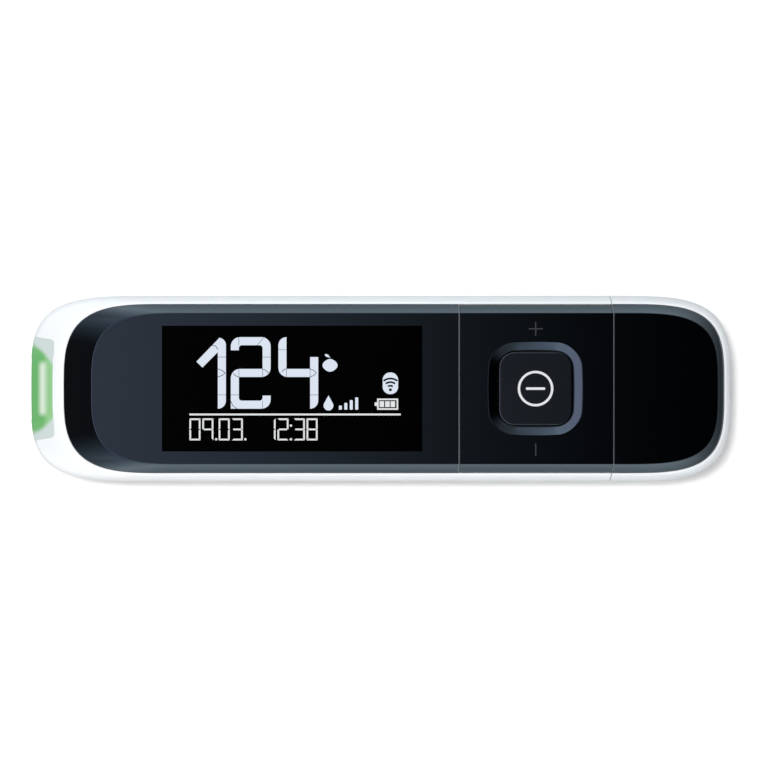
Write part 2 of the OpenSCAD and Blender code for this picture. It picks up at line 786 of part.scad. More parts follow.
module battery_cell() {
    color("silver")
        plate(cell_x0, cell_x1, cell_w, cell_z, cell_z + cell_t, 1.5);
}

module cell_board() {
    color("darkgreen")
        block([cell_x1, -cell_w / 2 + 1, cell_z + 0.6],
              [cell_x1 + cell_board_t, cell_w / 2 - 1, cell_z + cell_t - 0.6]);
}

// Lead from the cell's board, round one bend and up to the main board
module lead(y) {
    r = 0.45;
    bend = 1.5;
    z = cell_z + cell_t / 2;
    translate([cell_x1 + cell_board_t, y, z]) union() {
        rotate([0, 90, 0]) cylinder(r = r, h = 1);
        translate([1, 0, bend]) rotate([90, 0, 0])
            rotate([0, 0, -90]) rotate_extrude(angle = 90) translate([bend, 0]) circle(r = r);
        translate([1 + bend, 0, bend]) cylinder(r = r, h = board_z - z - bend);
    }
}

module red_lead() {
    color("red") lead(1.2);
}

module black_lead() {
    color("black") lead(-1.2);
}

module usb_shell() {
    half_w = usb_w / 2;
    half_h = usb_h / 2;
    hole_y = 2.9;
    hole_w = 2.5;
    color("silver") difference() {
        block([usb_x0, -half_w, usb_z - half_h], [usb_x1, half_w, usb_z + half_h]);
        block([usb_x0 - 1, -half_w + usb_t, usb_z - half_h + usb_t],
              [usb_x1 + 1, half_w - usb_t, usb_z + half_h - usb_t]);
        for (side = [-1, 1])
            block([usb_x1 - 7.2, side * hole_y - hole_w / 2, usb_z - usb_h],
                  [usb_x1 - 5, side * hole_y + hole_w / 2, usb_z + usb_h]);
    }
}

module usb_tongue() {
    half_w = usb_w / 2 - usb_t - 0.05;
    color("white") union() {
        block([usb_x0 + 0.4, -half_w, usb_z - usb_h / 2 + usb_t + 0.02], [usb_x1 - 0.6, half_w, usb_z]);
        block([usb_x0 - usb_block, -half_w, board_top],
              [usb_x0 + usb_back, half_w, usb_z + usb_h / 2 - usb_t - 0.05]);
    }
}

module usb_contacts() {
    color("gold") for (i = [-1.5:1.5])
        translate([0, i * usb_pitch, usb_z])
            block([usb_x0 + usb_back, -0.5, 0], [usb_x1 - (abs(i) > 1 ? 1.2 : 2.2), 0.5, 0.15]);
}

// Tactile switch with a round nub, standing on the main board
module tact_switch(x, y, w) {
    translate([x, y, board_top]) union() {
        translate([0, 0, switch_h / 2]) cube([w, w, switch_h], center = true);
        translate([0, 0, switch_h - 0.2]) cylinder(r = w * 0.26, h = nub_h + 0.2);
    }
}

module power_switch() {
    color("dimgray") tact_switch(key_x, 0, power_switch_w);
}

module plus_switch() {
    color("dimgray") tact_switch(key_x, mark_y, mark_switch_w);
}

module minus_switch() {
    color("dimgray") tact_switch(key_x, -mark_y, mark_switch_w);
}

module case_screws() {
    color("silver") at_screws() union() {
        difference() {
            translate([0, 0, head_hole_d - head_t]) cylinder(r = head_r, h = head_t);
            for (turn = [0, 90])
                rotate([0, 0, turn])
                    cube([cross_w, cross_t, 2 * (head_hole_d - head_t + cross_t)], center = true);
        }
        translate([0, 0, head_hole_d - 0.2]) cylinder(r = screw_r, h = screw_top - head_hole_d + 0.2);
    }
}

lower_case();
upper_case();
display_bezel();
display_window();
rocker_plate();
power_button();
cap_shell();
cap_panel();
port_light_guide();
strip_guide();
strip_contacts();
status_leds();
main_board();
board_chips();
board_passives();
radio_antenna();
lcd_glass();
lcd_backlight();
lcd_frame();
lcd_gasket();
lcd_flex();
flex_connector();
battery_pad();
battery_cell();
cell_board();
red_lead();
black_lead();
usb_shell();
usb_tongue();
usb_contacts();
key_frame();
power_switch();
plus_switch();
minus_switch();
case_screws();
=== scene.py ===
"""Stick-shaped blood glucose meter: shells, panel, keys, light guide and display, for a studio view."""

import json
import math

import bmesh
import bpy
from bpy.props import FloatProperty, FloatVectorProperty, IntProperty, PointerProperty
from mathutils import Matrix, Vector


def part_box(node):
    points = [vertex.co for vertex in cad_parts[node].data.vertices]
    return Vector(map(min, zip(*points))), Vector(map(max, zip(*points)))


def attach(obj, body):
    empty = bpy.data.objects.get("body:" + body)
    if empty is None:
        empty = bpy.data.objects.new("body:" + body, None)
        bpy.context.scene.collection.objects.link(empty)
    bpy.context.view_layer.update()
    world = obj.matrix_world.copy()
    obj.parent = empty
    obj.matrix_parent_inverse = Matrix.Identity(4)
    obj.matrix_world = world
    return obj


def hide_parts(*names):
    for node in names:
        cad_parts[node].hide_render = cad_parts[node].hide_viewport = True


bl_info = {
    "name": "Stick glucose meter",
    "version": (1, 0, 0),
    "blender": (4, 5, 0),
    "location": "View3D > Sidebar > Meter",
    "description": "Builds the looks of a stick-shaped blood glucose meter round its packed model",
    "category": "Object",
}

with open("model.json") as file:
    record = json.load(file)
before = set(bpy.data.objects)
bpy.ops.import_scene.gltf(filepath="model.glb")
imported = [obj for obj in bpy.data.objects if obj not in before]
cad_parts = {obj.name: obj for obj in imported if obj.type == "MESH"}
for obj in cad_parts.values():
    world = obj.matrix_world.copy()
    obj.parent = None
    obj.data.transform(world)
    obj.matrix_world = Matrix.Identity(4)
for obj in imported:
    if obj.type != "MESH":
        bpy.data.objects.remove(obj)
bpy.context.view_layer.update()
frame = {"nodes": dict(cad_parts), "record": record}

MM = 0.001
CASE_LOW, CASE_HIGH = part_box("lower_case")
TOP_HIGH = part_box("upper_case")[1]
CAP_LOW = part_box("cap_shell")[0]
BEZEL_LOW, BEZEL_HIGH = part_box("display_bezel")
PANEL_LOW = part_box("cap_panel")[0]
WINDOW_LOW, WINDOW_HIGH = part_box("display_window")
ROCKER_LOW, ROCKER_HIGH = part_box("rocker_plate")
KEY_LOW, KEY_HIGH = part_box("power_button")
GUIDE_LOW, GUIDE_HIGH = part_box("port_light_guide")
USB_LOW, USB_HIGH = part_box("usb_shell")
STRIP_LOW, STRIP_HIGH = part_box("strip_guide")


# ---------------------------------------------------------------- settings


def length(name, words, default):
    """A length in metres, shown in the panel."""
    return FloatProperty(name=name, description=words, default=default, unit="LENGTH", precision=5)


def colour(name, words, default):
    """A linear colour, shown in the panel."""
    return FloatVectorProperty(
        name=name, description=words, default=default, subtype="COLOR", size=3, min=0.0, max=1.0)


class MeterSizes(bpy.types.PropertyGroup):
    """Sizes that the shells, the panel and the keys are drawn from."""

    body_len: length("Length", "Length over the nose and the cap", 105.5 * MM)
    body_w: length("Width", "Width at the widest line", CASE_HIGH.y - CASE_LOW.y)
    body_h: length("Height", "Height of the flat panel above the table", BEZEL_HIGH.z)
    waist_z: length("Waist", "Height of the widest line", CASE_HIGH.z)
    rim_z: length("Rim", "Height of the white lip", TOP_HIGH.z)
    shelf_z: length("Shelf", "Height of the shelf that carries the panel", BEZEL_LOW.z)
    wall: length("Wall", "Thickness of the moulded walls", 1.4 * MM)
    nose_rake: length("Nose rake", "Draw-back of the nose at the panel rim", 5.55 * MM)
    nose_rise: length("Nose rise", "Draw-back of the nose at the table", 8.0 * MM)
    nose_blend: length("Nose blend", "Length over which the nose narrows", 19.6 * MM)
    side_rake: length("Side rake", "Draw-in of the sides at the panel rim", 1.25 * MM)
    side_round: length("Side round", "Draw-in of the sides at the table", 3.8 * MM)
    tail_rake: length("Tail rake", "Draw-back of the tail at the panel rim", 1.45 * MM)
    tail_blend: length("Tail blend", "Length over which the tail narrows", 17.5 * MM)
    lip_w: length("Lip", "Width of the white lip round the panel", 0.2 * MM)
    panel_gap: length("Panel gap", "Clearance round the panel pieces", 0.05 * MM)
    bevel_w: length("Bevel", "Width of the bevel along the sides", 1.37 * MM)
    nose_bevel_w: length("Nose bevel", "Width of the bevel at the nose", 4.5 * MM)
    panel_nose_blend: length("Panel nose", "Length over which the panel narrows at the nose", 15.4 * MM)
    panel_tail_blend: length("Panel tail", "Length over which the panel narrows at the tail", 15.7 * MM)
    panel_t: length("Panel thickness", "Thickness of the panel pieces", 1.5 * MM)
    seat_w: length("Seat", "Width of the band that the panel rests on", 2.1 * MM)
    dish_w: length("Dish", "Width of the dished ring round the power key", 13.95 * MM)
    dish_r: length("Dish corner", "Corner radius of the dished ring", 3.4 * MM)
    dish_depth: length("Dish depth", "Depth of the dished ring", 0.5 * MM)
    dish_bead: length("Dish bead", "Height of the fine bead round the dished ring", 0.02 * MM)
    key_r: length("Key corner", "Corner radius of the power key", 2.3 * MM)
    key_gap: length("Key gap", "Gap round the power key", 0.25 * MM)
    edge_r: length("Edge", "Rounding of moulded edges", 0.18 * MM)
    seam_r: length("Seam edge", "Rounding of the panel pieces' edges", 0.06 * MM)
    seam_closed: length("Seam", "How far each side of the cap's seam is closed up", 0.045 * MM)
    seam_lip: length("Seam lip", "Width of the pale lip in the panel's seams", 0.15 * MM)
    end_steps: IntProperty(name="End steps", description="Points round each end", default=96, min=32)


class MeterColours(bpy.types.PropertyGroup):
    """Colours of the finishes."""

    shell: colour("Shell", "White moulded shell", (0.78, 0.81, 0.835))
    panel: colour("Panel", "Deep blue-black panel", (0.0003, 0.0004, 0.0007))
    lens: colour("Lens", "Black display window", (0.0002, 0.0002, 0.0002))
    key: colour("Key", "Satin black power key", (0.0016, 0.0026, 0.0031))
    # Seam colour: the white case seen in the panel's seams, darkened as painted shade, with the pieces' edge
    # highlight painted in
    seam: colour("Seam", "Pale lip in the panel's seams", (0.075, 0.085, 0.095))
    figures: colour("Figures", "Lit figures of the display", (0.71, 0.775, 0.875))
    rulings: colour("Rulings", "Lit small figures and lines of the display", (0.76, 0.77, 0.78))
    symbol: colour("Symbol", "White power symbol", (0.72, 0.72, 0.74))
    marks: colour("Marks", "Dim plus and minus marks", (0.034, 0.037, 0.04))
    glow: colour("Glow", "Green light in the port", (0.113, 0.42, 0.118))
    glow_pale: colour("Pale glow", "Paler green towards the panel", (0.38, 0.66, 0.36))
    glow_core: colour("Core", "Whitish core of the light", (0.665, 0.79, 0.65))
    # The guide's ends are greyish plastic, yet they emit as well: their brightness is partly a painted glow
    guide_ends_glowing: colour("Guide ends", "Unlit ends of the guide", (0.60, 0.68, 0.67))
    floor: colour("Floor", "White floor", (0.87, 0.87, 0.87))


# ---------------------------------------------------------------- outlines


# Squareness of the end outlines: 2 gives an ellipse, more gives a squarer end
NOSE_POWER, NOSE_RIM_POWER, TAIL_POWER = 3.9, 3.4, 3.7
# The same for the section's curl from the waist to the table
CURL_POWER = 2.4
# How much shorter the panel's flat blends than its foot, at the nose and at the tail
NOSE_FLAT_SHORT, TAIL_FLAT_SHORT = 1.2 * MM, 0.9 * MM
# Least straight side between an end's curve and its cut
STRAIGHT_LEAST = 0.3 * MM


def mix(a, b, t):
    """Number between a and b at share t."""
    return a + (b - a) * t


def mix_spec(a, b, t):
    """End outline between two others at share t."""
    return tuple(mix(p, q, t) for p, q in zip(a, b))


def on_circle(x, y, r, a):
    """Point at angle a on a circle centred on (x, y)."""
    return (x + r * math.cos(a), y + r * math.sin(a))


def circle(x, y, r, steps=20):
    """Outline of a circle centred on (x, y)."""
    return [on_circle(x, y, r, 2 * math.pi * k / steps) for k in range(steps)]


def bar(cx, cy, w, h):
    """Outline of a bar centred on (cx, cy)."""
    left, right, low, high = cx - w / 2, cx + w / 2, cy - h / 2, cy + h / 2
    return [(left, low), (right, low), (right, high), (left, high)]


def shrunk(spec, d):
    """An end outline (tip, half width, blend, squareness) drawn in by d all round."""
    tip, half_w, blend, power = spec
    return (tip - math.copysign(d, tip), half_w - d, blend - d, power)


def specs(s):
    """End outlines at the waist, the table, the rim, the panel's foot and its flat."""
    half_len, half_w = s.body_len / 2, s.body_w / 2
    base_w, rim_w = half_w - s.side_round, half_w - s.side_rake
    out = {
        "nose_waist": (-half_len, half_w, s.nose_blend, NOSE_POWER),
        "nose_base": (-half_len + s.nose_rise, base_w, s.nose_blend - s.nose_rise, NOSE_POWER),
        "nose_rim": (-half_len + s.nose_rake, rim_w, s.panel_nose_blend + s.lip_w, NOSE_RIM_POWER),
        "tail_waist": (half_len, half_w, s.tail_blend, TAIL_POWER),
        "tail_base": (half_len - s.side_round, base_w, s.tail_blend - s.side_round, TAIL_POWER),
        "tail_rim": (half_len - s.tail_rake, rim_w, s.panel_tail_blend + s.lip_w, TAIL_POWER),
    }
    inset = s.lip_w + s.panel_gap
    out["nose_edge"] = shrunk(out["nose_rim"], inset)
    out["tail_edge"] = shrunk(out["tail_rim"], inset)
    tip, half, blend, power = out["nose_edge"]
    out["nose_flat"] = (tip + s.nose_bevel_w, half - s.bevel_w, blend - NOSE_FLAT_SHORT, power)
    tip, half, blend, power = out["tail_edge"]
    out["tail_flat"] = (tip - s.bevel_w, half - s.bevel_w, blend - TAIL_FLAT_SHORT, power)
    return out


def end_ring(spec, x_cut, z, steps):
    """Closed ring: a square cut at x_cut and a superelliptic end, counter-clockwise from above."""
    tip, half_w, blend, power = spec
    side = math.copysign(1.0, tip - x_cut)
    blend = min(blend, abs(tip - x_cut) - STRAIGHT_LEAST)
    e = 2.0 / power
    points = [Vector((x_cut, -side * half_w, z))]
    for k in range(steps + 1):
        t = -math.pi / 2 + math.pi * k / steps
        c, q = max(math.cos(t), 0.0), math.sin(t)
        points.append(Vector((
            tip - side * blend * (1.0 - c ** e),
            side * half_w * math.copysign(abs(q) ** e, q), z)))
    points.append(Vector((x_cut, side * half_w, z)))
    return points


def draw_in(s, z):
    """How far the section has curled from the waist towards the table, from 0 to 1."""
    v = min(max((s.waist_z - z) / s.waist_z, 0.0), 1.0)
    return 1.0 - (1.0 - v ** CURL_POWER) ** (1.0 / CURL_POWER)


def body_spec(s, end, z):
    """End outline of the body at height z."""
    o = specs(s)
    if z < s.waist_z:
        return mix_spec(o[end + "_waist"], o[end + "_base"], draw_in(s, z))
    u = (z - s.waist_z) / (s.rim_z - s.waist_z)
    return mix_spec(o[end + "_waist"], o[end + "_rim"], u * u)


def low_levels(s, steps=20):
    """Heights from the table to the waist, closer together where the base curls under."""
    drops = [max(math.cos(math.pi / 2 * i / steps), 0.0) ** (2 / CURL_POWER) for i in range(steps + 1)]
    return [s.waist_z * (1.0 - drop) for drop in drops]


def levels(z0, z1, steps):
    """Evenly spaced heights from z0 to z1."""
    return [mix(z0, z1, i / steps) for i in range(steps + 1)]


def square_ring(w, r, x, z, corner_steps=12, side_steps=12, bow=0.0):
    """Rounded square of width w centred on (x, 0), counter-clockwise from above, with bowed sides."""
    plan = []
    for q in range(4):
        sx, sy = (1 if q in (0, 3) else -1), (1 if q < 2 else -1)
        plan += [on_circle(sx * (w / 2 - r), sy * (w / 2 - r), r, math.pi / 2 * (q + k / corner_steps))
                 for k in range(corner_steps + 1)]
        nx, ny = (-1 if q < 2 else 1), (1 if q in (0, 3) else -1)
        start = plan[-1]
        end = on_circle(nx * (w / 2 - r), ny * (w / 2 - r), r, math.pi / 2 * (q + 1))
        plan += [(mix(start[0], end[0], k / side_steps), mix(start[1], end[1], k / side_steps))
                 for k in range(1, side_steps)]
    return [Vector((x + px * (1 - bow * (2 * py / w) ** 2), py * (1 - bow * (2 * px / w) ** 2), z))
            for px, py in plan]


def rounded_outline(corners, r=0.0, steps=8):
    """Flat outline through corners (x, y) or (x, y, radius), each rounded by its own radius or by r."""
    out = []
    n = len(corners)
    for i, corner in enumerate(corners):
        p = Vector(corner[:2])
        radius = corner[2] if len(corner) > 2 else r
        if radius <= 0.0:
            out.append(tuple(p))
            continue
        a = (Vector(corners[i - 1][:2]) - p).normalized()
        b = (Vector(corners[(i + 1) % n][:2]) - p).normalized()
        half = a.angle(b) / 2
        centre = p + (a + b).normalized() * (radius / math.sin(half))
        start, end = p + a * (radius / math.tan(half)), p + b * (radius / math.tan(half))
        a0 = math.atan2(start.y - centre.y, start.x - centre.x)
        turn = math.atan2(end.y - centre.y, end.x - centre.x) - a0
        turn = (turn + math.pi) % (2 * math.pi) - math.pi
        out += [on_circle(centre.x, centre.y, radius, a0 + turn * k / steps) for k in range(steps + 1)]
    return out


# ---------------------------------------------------------------- meshes


def add_solid(bm, rings):
    """Closed solid through rings that have the same number of points, from the lowest up."""
    rows = [[bm.verts.new(p) for p in ring] for ring in rings]
    n = len(rows[0])
    bm.faces.new(list(reversed(rows[0])))
    for low, high in zip(rows, rows[1:]):
        for j in range(n):
            k = (j + 1) % n
            bm.faces.new((low[j], low[k], high[k], high[j]))
    bm.faces.new(rows[-1])


def new_piece(name, bm):
    """Piece with the edit mesh's faces, turned outwards."""
    bmesh.ops.recalc_face_normals(bm, faces=bm.faces)
    mesh = bpy.data.meshes.new(name)
    bm.to_mesh(mesh)
    bm.free()
    piece = bpy.data.objects.new(name, mesh)
    bpy.context.scene.collection.objects.link(piece)
    return piece


def loft(name, rings):
    """Piece made of one closed solid through the rings."""
    bm = bmesh.new()
    add_solid(bm, rings)
    return new_piece(name, bm)


def prism(name, outline, axis, low, high):
    """Flat outline (pairs) pushed along an axis: pairs are Y, Z along X, or X, Y along Z."""

    def place(p, d):
        return Vector((d, p[0], p[1])) if axis == "X" else Vector((p[0], p[1], d))

    return loft(name, [[place(p, low) for p in outline], [place(p, high) for p in outline]])


def plan_prism(name, ring, low, high):
    """Upright solid on the plan of a ring, between two heights."""
    return prism(name, [(p.x, p.y) for p in ring], "Z", low, high)


def block(name, low, high):
    """Box between two corners."""
    outline = [(low[0], low[1]), (high[0], low[1]), (high[0], high[1]), (low[0], high[1])]
    return prism(name, outline, "Z", low[2], high[2])


def disc(name, x, y, r, z0, z1):
    """Upright cylinder."""
    return prism(name, circle(x, y, r, 48), "Z", z0, z1)


def flat_mark(name, outlines, z, thick):
    """Thin raised print made of one or more flat outlines (pairs, counter-clockwise)."""
    bm = bmesh.new()
    for outline in outlines:
        add_solid(bm, [[(x, y, height) for x, y in outline] for height in (z, z + thick)])
    return new_piece(name, bm)


def settle(piece):
    """Replaces the piece's mesh by its own with its modifiers applied."""
    graph = bpy.context.evaluated_depsgraph_get()
    graph.update()
    mesh = bpy.data.meshes.new_from_object(piece.evaluated_get(graph))
    piece.modifiers.clear()
    old, piece.data = piece.data, mesh
    bpy.data.meshes.remove(old)
    mesh.name = piece.name


def combine(piece, tools, operation):
    """Boolean of the piece with each tool, which is then removed."""
    for tool in tools:
        m = piece.modifiers.new("cut", "BOOLEAN")
        m.operation, m.solver, m.object = operation, "EXACT", tool
        settle(piece)
        mesh = tool.data
        bpy.data.objects.remove(tool)
        bpy.data.meshes.remove(mesh)
    return piece


def soften(piece, width, angle=35.0, segments=3):
    """Small round on every edge that turns by more than the angle."""
    m = piece.modifiers.new("edge", "BEVEL")
    m.width, m.segments, m.limit_method = width, segments, "ANGLE"
    m.angle_limit, m.use_clamp_overlap = math.radians(angle), True
    settle(piece)
    return piece


def smooth(piece, angle=32.0):
    """Smooth shading, sharp where faces turn by more than the angle, with large flats kept flat."""
    piece.data.shade_smooth()
    piece.data.set_sharp_from_angle(angle=math.radians(angle))
    m = piece.modifiers.new("flats", "WEIGHTED_NORMAL")
    m.mode, m.weight, m.keep_sharp = "FACE_AREA", 60, True
    settle(piece)
    return piece


def dress(piece, material, body, nodes=()):
    """Gives a piece its material and its body, and hides the nodes that it stands for."""
    piece.data.materials.clear()
    piece.data.materials.append(material)
    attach(piece, body)
    if nodes:
        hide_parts(*nodes)
    return piece


# ---------------------------------------------------------------- materials


class Nodes:
    """Short ways to add, fill and link the nodes of a tree, which starts empty."""

    def __init__(self, tree):
        self.tree = tree
        self.tree.nodes.clear()

    def node(self, kind, **values):
        n = self.tree.nodes.new(kind)
        for key, value in values.items():
            setattr(n, key, value)
        return n

    def link(self, a, b):
        self.tree.links.new(a, b)

    def math(self, operation, a, b=None):
        """One math node on sockets or plain numbers."""
        n = self.node("ShaderNodeMath", operation=operation)
        for k, value in enumerate((a, b)):
            if isinstance(value, (int, float)):
                n.inputs[k].default_value = value
            elif value is not None:
                self.link(value, n.inputs[k])
        return n.outputs[0]

    def mapped(self, source, ends, low, high, kind="LINEAR"):
        """A source mapped with its From or To ends at low and high, and the other ends at 0 and 1."""
        m = self.node("ShaderNodeMapRange", interpolation_type=kind)
        m.inputs[ends + " Min"].default_value = low
        m.inputs[ends + " Max"].default_value = high
        self.link(source, m.inputs["Value"])
        return m.outputs["Result"]

    def step(self, source, low, high):
        """Smooth step of a source from 0 at low to 1 at high."""
        return self.mapped(source, "From", low, high, "SMOOTHSTEP")

    def spread(self, source, low, high):
        """A 0 to 1 source mapped to low to high."""
        return self.mapped(source, "To", low, high)


class Finish(Nodes):
    """A node material that starts from one Principled shader."""

    def __init__(self, name, base, roughness, metallic=0.0, ior=1.5):
        self.material = bpy.data.materials.get(name) or bpy.data.materials.new(name)
        self.material.use_nodes = True
        super().__init__(self.material.node_tree)
        out = self.node("ShaderNodeOutputMaterial")
        self.shader = self.node("ShaderNodeBsdfPrincipled")
        self.link(self.shader.outputs[0], out.inputs[0])
        self.base = (*base, 1.0)
        self.set("Base Color", self.base)
        self.set("Roughness", roughness)
        self.set("Metallic", metallic)
        self.set("IOR", ior)
        self.coords = self.node("ShaderNodeTexCoord").outputs["Object"]

    def set(self, socket, value):
        self.shader.inputs[socket].default_value = value

    def noise(self, scale, detail=3.0):
        n = self.node("ShaderNodeTexNoise")
        n.inputs["Scale"].default_value = scale
        n.inputs["Detail"].default_value = detail
        self.link(self.coords, n.inputs["Vector"])
        return n.outputs["Fac"]

    def blend(self, share, a, b):
        """Colour between a and b by the share."""
        n = self.node("ShaderNodeMix", data_type="RGBA")
        self.link(share, n.inputs["Factor"])
        for socket, value in ((n.inputs[6], a), (n.inputs[7], b)):
            if isinstance(value, tuple):
                socket.default_value = (*value, 1.0)
            else:
                self.link(value, socket)
        return n.outputs[2]

    def vary_colour(self, source, low, high):
        """Base colour that drifts between low and high times itself."""
        ramp = self.node("ShaderNodeValToRGB")
        for element, share in zip(ramp.color_ramp.elements, (low, high)):
            element.color = (*(min(c * share, 1.0) for c in self.base[:3]), 1.0)
        self.link(source, ramp.inputs["Fac"])
        self.link(ramp.outputs["Color"], self.shader.inputs["Base Color"])

    def vary_roughness(self, source, low, high):
        self.link(self.spread(source, low, high), self.shader.inputs["Roughness"])

    def bump(self, source, strength, distance):
        b = self.node("ShaderNodeBump")
        b.inputs["Strength"].default_value = strength
        b.inputs["Distance"].default_value = distance
        self.link(source, b.inputs["Height"])
        self.link(b.outputs["Normal"], self.shader.inputs["Normal"])


# Scale of the noise that makes the grain of moulded plastic, and height of its bumps
GRAIN_SCALE, GRAIN_HEIGHT = 2600.0, 0.02 * MM


def moulded(name, base, rough, strength=0.05, spread=0.05, ior=1.5):
    """Moulded plastic with a fine grain and a slow drift of its gloss."""
    f = Finish(name, base, rough, ior=ior)
    slow = f.noise(60.0)
    f.vary_colour(slow, 0.985, 1.015)
    f.vary_roughness(slow, rough - spread, rough + spread)
    f.bump(f.noise(GRAIN_SCALE, detail=4.0), strength, GRAIN_HEIGHT)
    return f


def shell_white(c):
    """White shell that lets a little light in under its skin."""
    f = moulded("shell_white", c.shell, 0.34, strength=0.03)
    f.set("Subsurface Weight", 0.06)
    f.set("Subsurface Radius", (0.0012, 0.0010, 0.0009))
    f.set("Subsurface Scale", 1.0)
    return f.material


def panel_gloss(c):
    """Deep gloss with bluish reflections."""
    f = moulded("panel_gloss", c.panel, 0.10, strength=0.0, spread=0.02, ior=1.45)
    f.set("Specular Tint", (0.53, 0.71, 1.0, 1.0))
    return f.material


def lens_black(c):
    """Black window that mirrors almost nothing."""
    return moulded("lens_black", c.lens, 0.22, strength=0.0, spread=0.02, ior=1.06).material


def key_satin(c):
    """Satin black with bluish reflections."""
    f = moulded("key_satin", c.key, 0.26, strength=0.02, spread=0.03)
    f.set("Specular Tint", (0.62, 0.73, 1.0, 1.0))
    return f.material


def lit_figures(name, base, glow):
    """Figures that shine, as on a display, or white print given a painted glow; glow is the share of the
    colour given as emission.
    """
    f = Finish(name, tuple(v * (1.0 - glow) for v in base), 0.5)
    f.vary_colour(f.noise(150.0), 0.97, 1.03)
    f.set("Emission Color", (*base, 1.0))
    f.set("Emission Strength", glow)
    f.set("Specular IOR Level", 0.1)
    return f.material


def guide_milk(c):
    """Milky guide, lit green from within up to a rounded front, with a whitish core and greyish ends that
    also get a painted glow.
    """
    # The lit part leans by a share of the way along, and narrows by the bulge times a power of the
    # millimetres along; each further pair is where a smooth step begins and ends
    lean, bulge, bulge_power = 0.1, 0.22 * MM, 1.8
    grey_ends_from, grey_ends_to = 6.12 * MM, 7.22 * MM
    fades_from, fades_to = 4.62 * MM, 6.32 * MM
    pales_from, pales_to = 2.2 * MM, 3.3 * MM
    core_x, core_half = 2.3 * MM, 1.1 * MM
    core_ends_from, core_ends_to = 3.3 * MM, 4.5 * MM
    # Most that each paler tint covers, and shares of the tint that reflect and that shine
    drift_most, fading_most, pale_most = 0.12, 0.12, 0.6
    reflected, shining = 0.5, 0.45
    f = Finish("guide_milk", c.glow, 0.3)
    split = f.node("ShaderNodeSeparateXYZ")
    f.link(f.coords, split.inputs[0])
    across = f.math("ABSOLUTE", split.outputs["Y"])
    along = f.math("SUBTRACT", split.outputs["X"], GUIDE_LOW.x)
    leaning = f.math("ADD", split.outputs["Y"], f.math("MULTIPLY", along, lean))
    rounding = f.math("MULTIPLY", f.math("POWER", f.math("DIVIDE", along, MM), bulge_power), bulge)
    lit = f.math("ADD", f.math("ABSOLUTE", leaning), rounding)
    ends = f.step(lit, grey_ends_from, grey_ends_to)
    fading = f.step(lit, fades_from, fades_to)
    pale = f.step(along, pales_from, pales_to)
    off_core = f.math("ABSOLUTE", f.math("SUBTRACT", along, core_x))
    core = f.math("MULTIPLY", f.math("SUBTRACT", 1.0, f.step(off_core, 0.0, core_half)),
                  f.math("SUBTRACT", 1.0, f.step(across, core_ends_from, core_ends_to)))
    drift = f.spread(f.noise(400.0), 0.0, drift_most)
    tint = f.blend(drift, tuple(c.glow), tuple(c.glow_pale))
    for share, colour_there in ((f.math("MULTIPLY", fading, fading_most), c.glow_pale),
                                (f.math("MULTIPLY", pale, pale_most), c.glow_pale),
                                (core, c.glow_core),
                                (ends, c.guide_ends_glowing)):
        tint = f.blend(share, tint, tuple(colour_there))
    dim = f.node("ShaderNodeVectorMath", operation="SCALE")
    f.link(tint, dim.inputs[0])
    dim.inputs["Scale"].default_value = reflected
    f.link(dim.outputs[0], f.shader.inputs["Base Color"])
    f.link(tint, f.shader.inputs["Emission Color"])
    f.set("Emission Strength", shining)
    f.set("Specular IOR Level", 0.15)
    return f.material


def painted_seam_lip_finish(c, name, share):
    """Pale plastic in a seam of the panel, at a share of the seam's colour: the white case seen in the gap in
    painted shade, with a painted highlight for the pieces' rounded edges.
    """
    return moulded(name, tuple(v * share for v in c.seam), 0.4, strength=0.02, ior=1.7).material


# Share of a metal's bright colour that the inner metals show, and their roughness
METAL_SHARE, METAL_ROUGH = 0.42, 0.32


def metal(name, base):
    """Rolled or plated metal with a fine grain and a drift of its gloss."""
    f = Finish(name, tuple(v * METAL_SHARE for v in base), METAL_ROUGH, metallic=1.0)
    f.vary_colour(f.noise(120.0), 0.96, 1.04)
    f.vary_roughness(f.noise(3500.0), METAL_ROUGH * 0.85, METAL_ROUGH * 1.15)
    return f.material


def inner_finishes():
    """Material for each inner node, made from the record's own colours."""
    record = frame["record"]
    slots = {m["slot"]: m for m in record["materials"]}
    made = {}
    for part in record["subparts"]:
        slot = slots[part["material_slot"]]
        name = "inner_" + slot["slot"]
        base = slot["base_color"][:3]
        if slot["class"] in ("chrome", "brass", "brushed_steel", "aluminium"):
            made[part["node"]] = metal(name, base)
        else:
            made[part["node"]] = moulded(name, base, 0.45, strength=0.12).material
    return made


# ---------------------------------------------------------------- shells


CASE_END_X = ROCKER_HIGH.x
# Thickness of the lower case's floor and of the shelf under the panel
FLOOR_T, SHELF_T = 1.4 * MM, 1.2 * MM
# The shelf's opening starts this far behind the bezel's flat and leaves a bridge under the bezel's seam
OPENING_BACK, BRIDGE_BEFORE, BRIDGE_BEHIND = 2.0 * MM, 1.4 * MM, 1.6 * MM
# Share of the lip's width by which its top is drawn in, and share of the edge rounding on the shells
LIP_LEAN, SHELL_EDGE = 0.8, 0.4
# Levels from the waist to the rim, and down and up the hollows of the lower and upper case
UPPER_STEPS, LOW_HOLLOW_STEPS, TOP_HOLLOW_STEPS = 14, 12, 8
# Walls of the cap beside, under and over its bay, and the bay's corner radius
BAY_SIDE, BAY_FLOOR, BAY_ROOF, BAY_R = 1.7 * MM, 1.6 * MM, 0.7 * MM, 3.5 * MM
# How far the bay's closed end stays inside the rim's outline
BAY_INSIDE_RIM = 0.05 * MM
# Collar in the bay: its wall, the room round it and how deep it stands in the case
COLLAR_WALL, COLLAR_SLACK, COLLAR_ROOT = 1.4 * MM, 0.15 * MM, 0.4 * MM
# Room round the USB plug, and how far its way starts inside the case
PLUG_SLACK, PLUG_ROOT = 0.15 * MM, 4.0 * MM
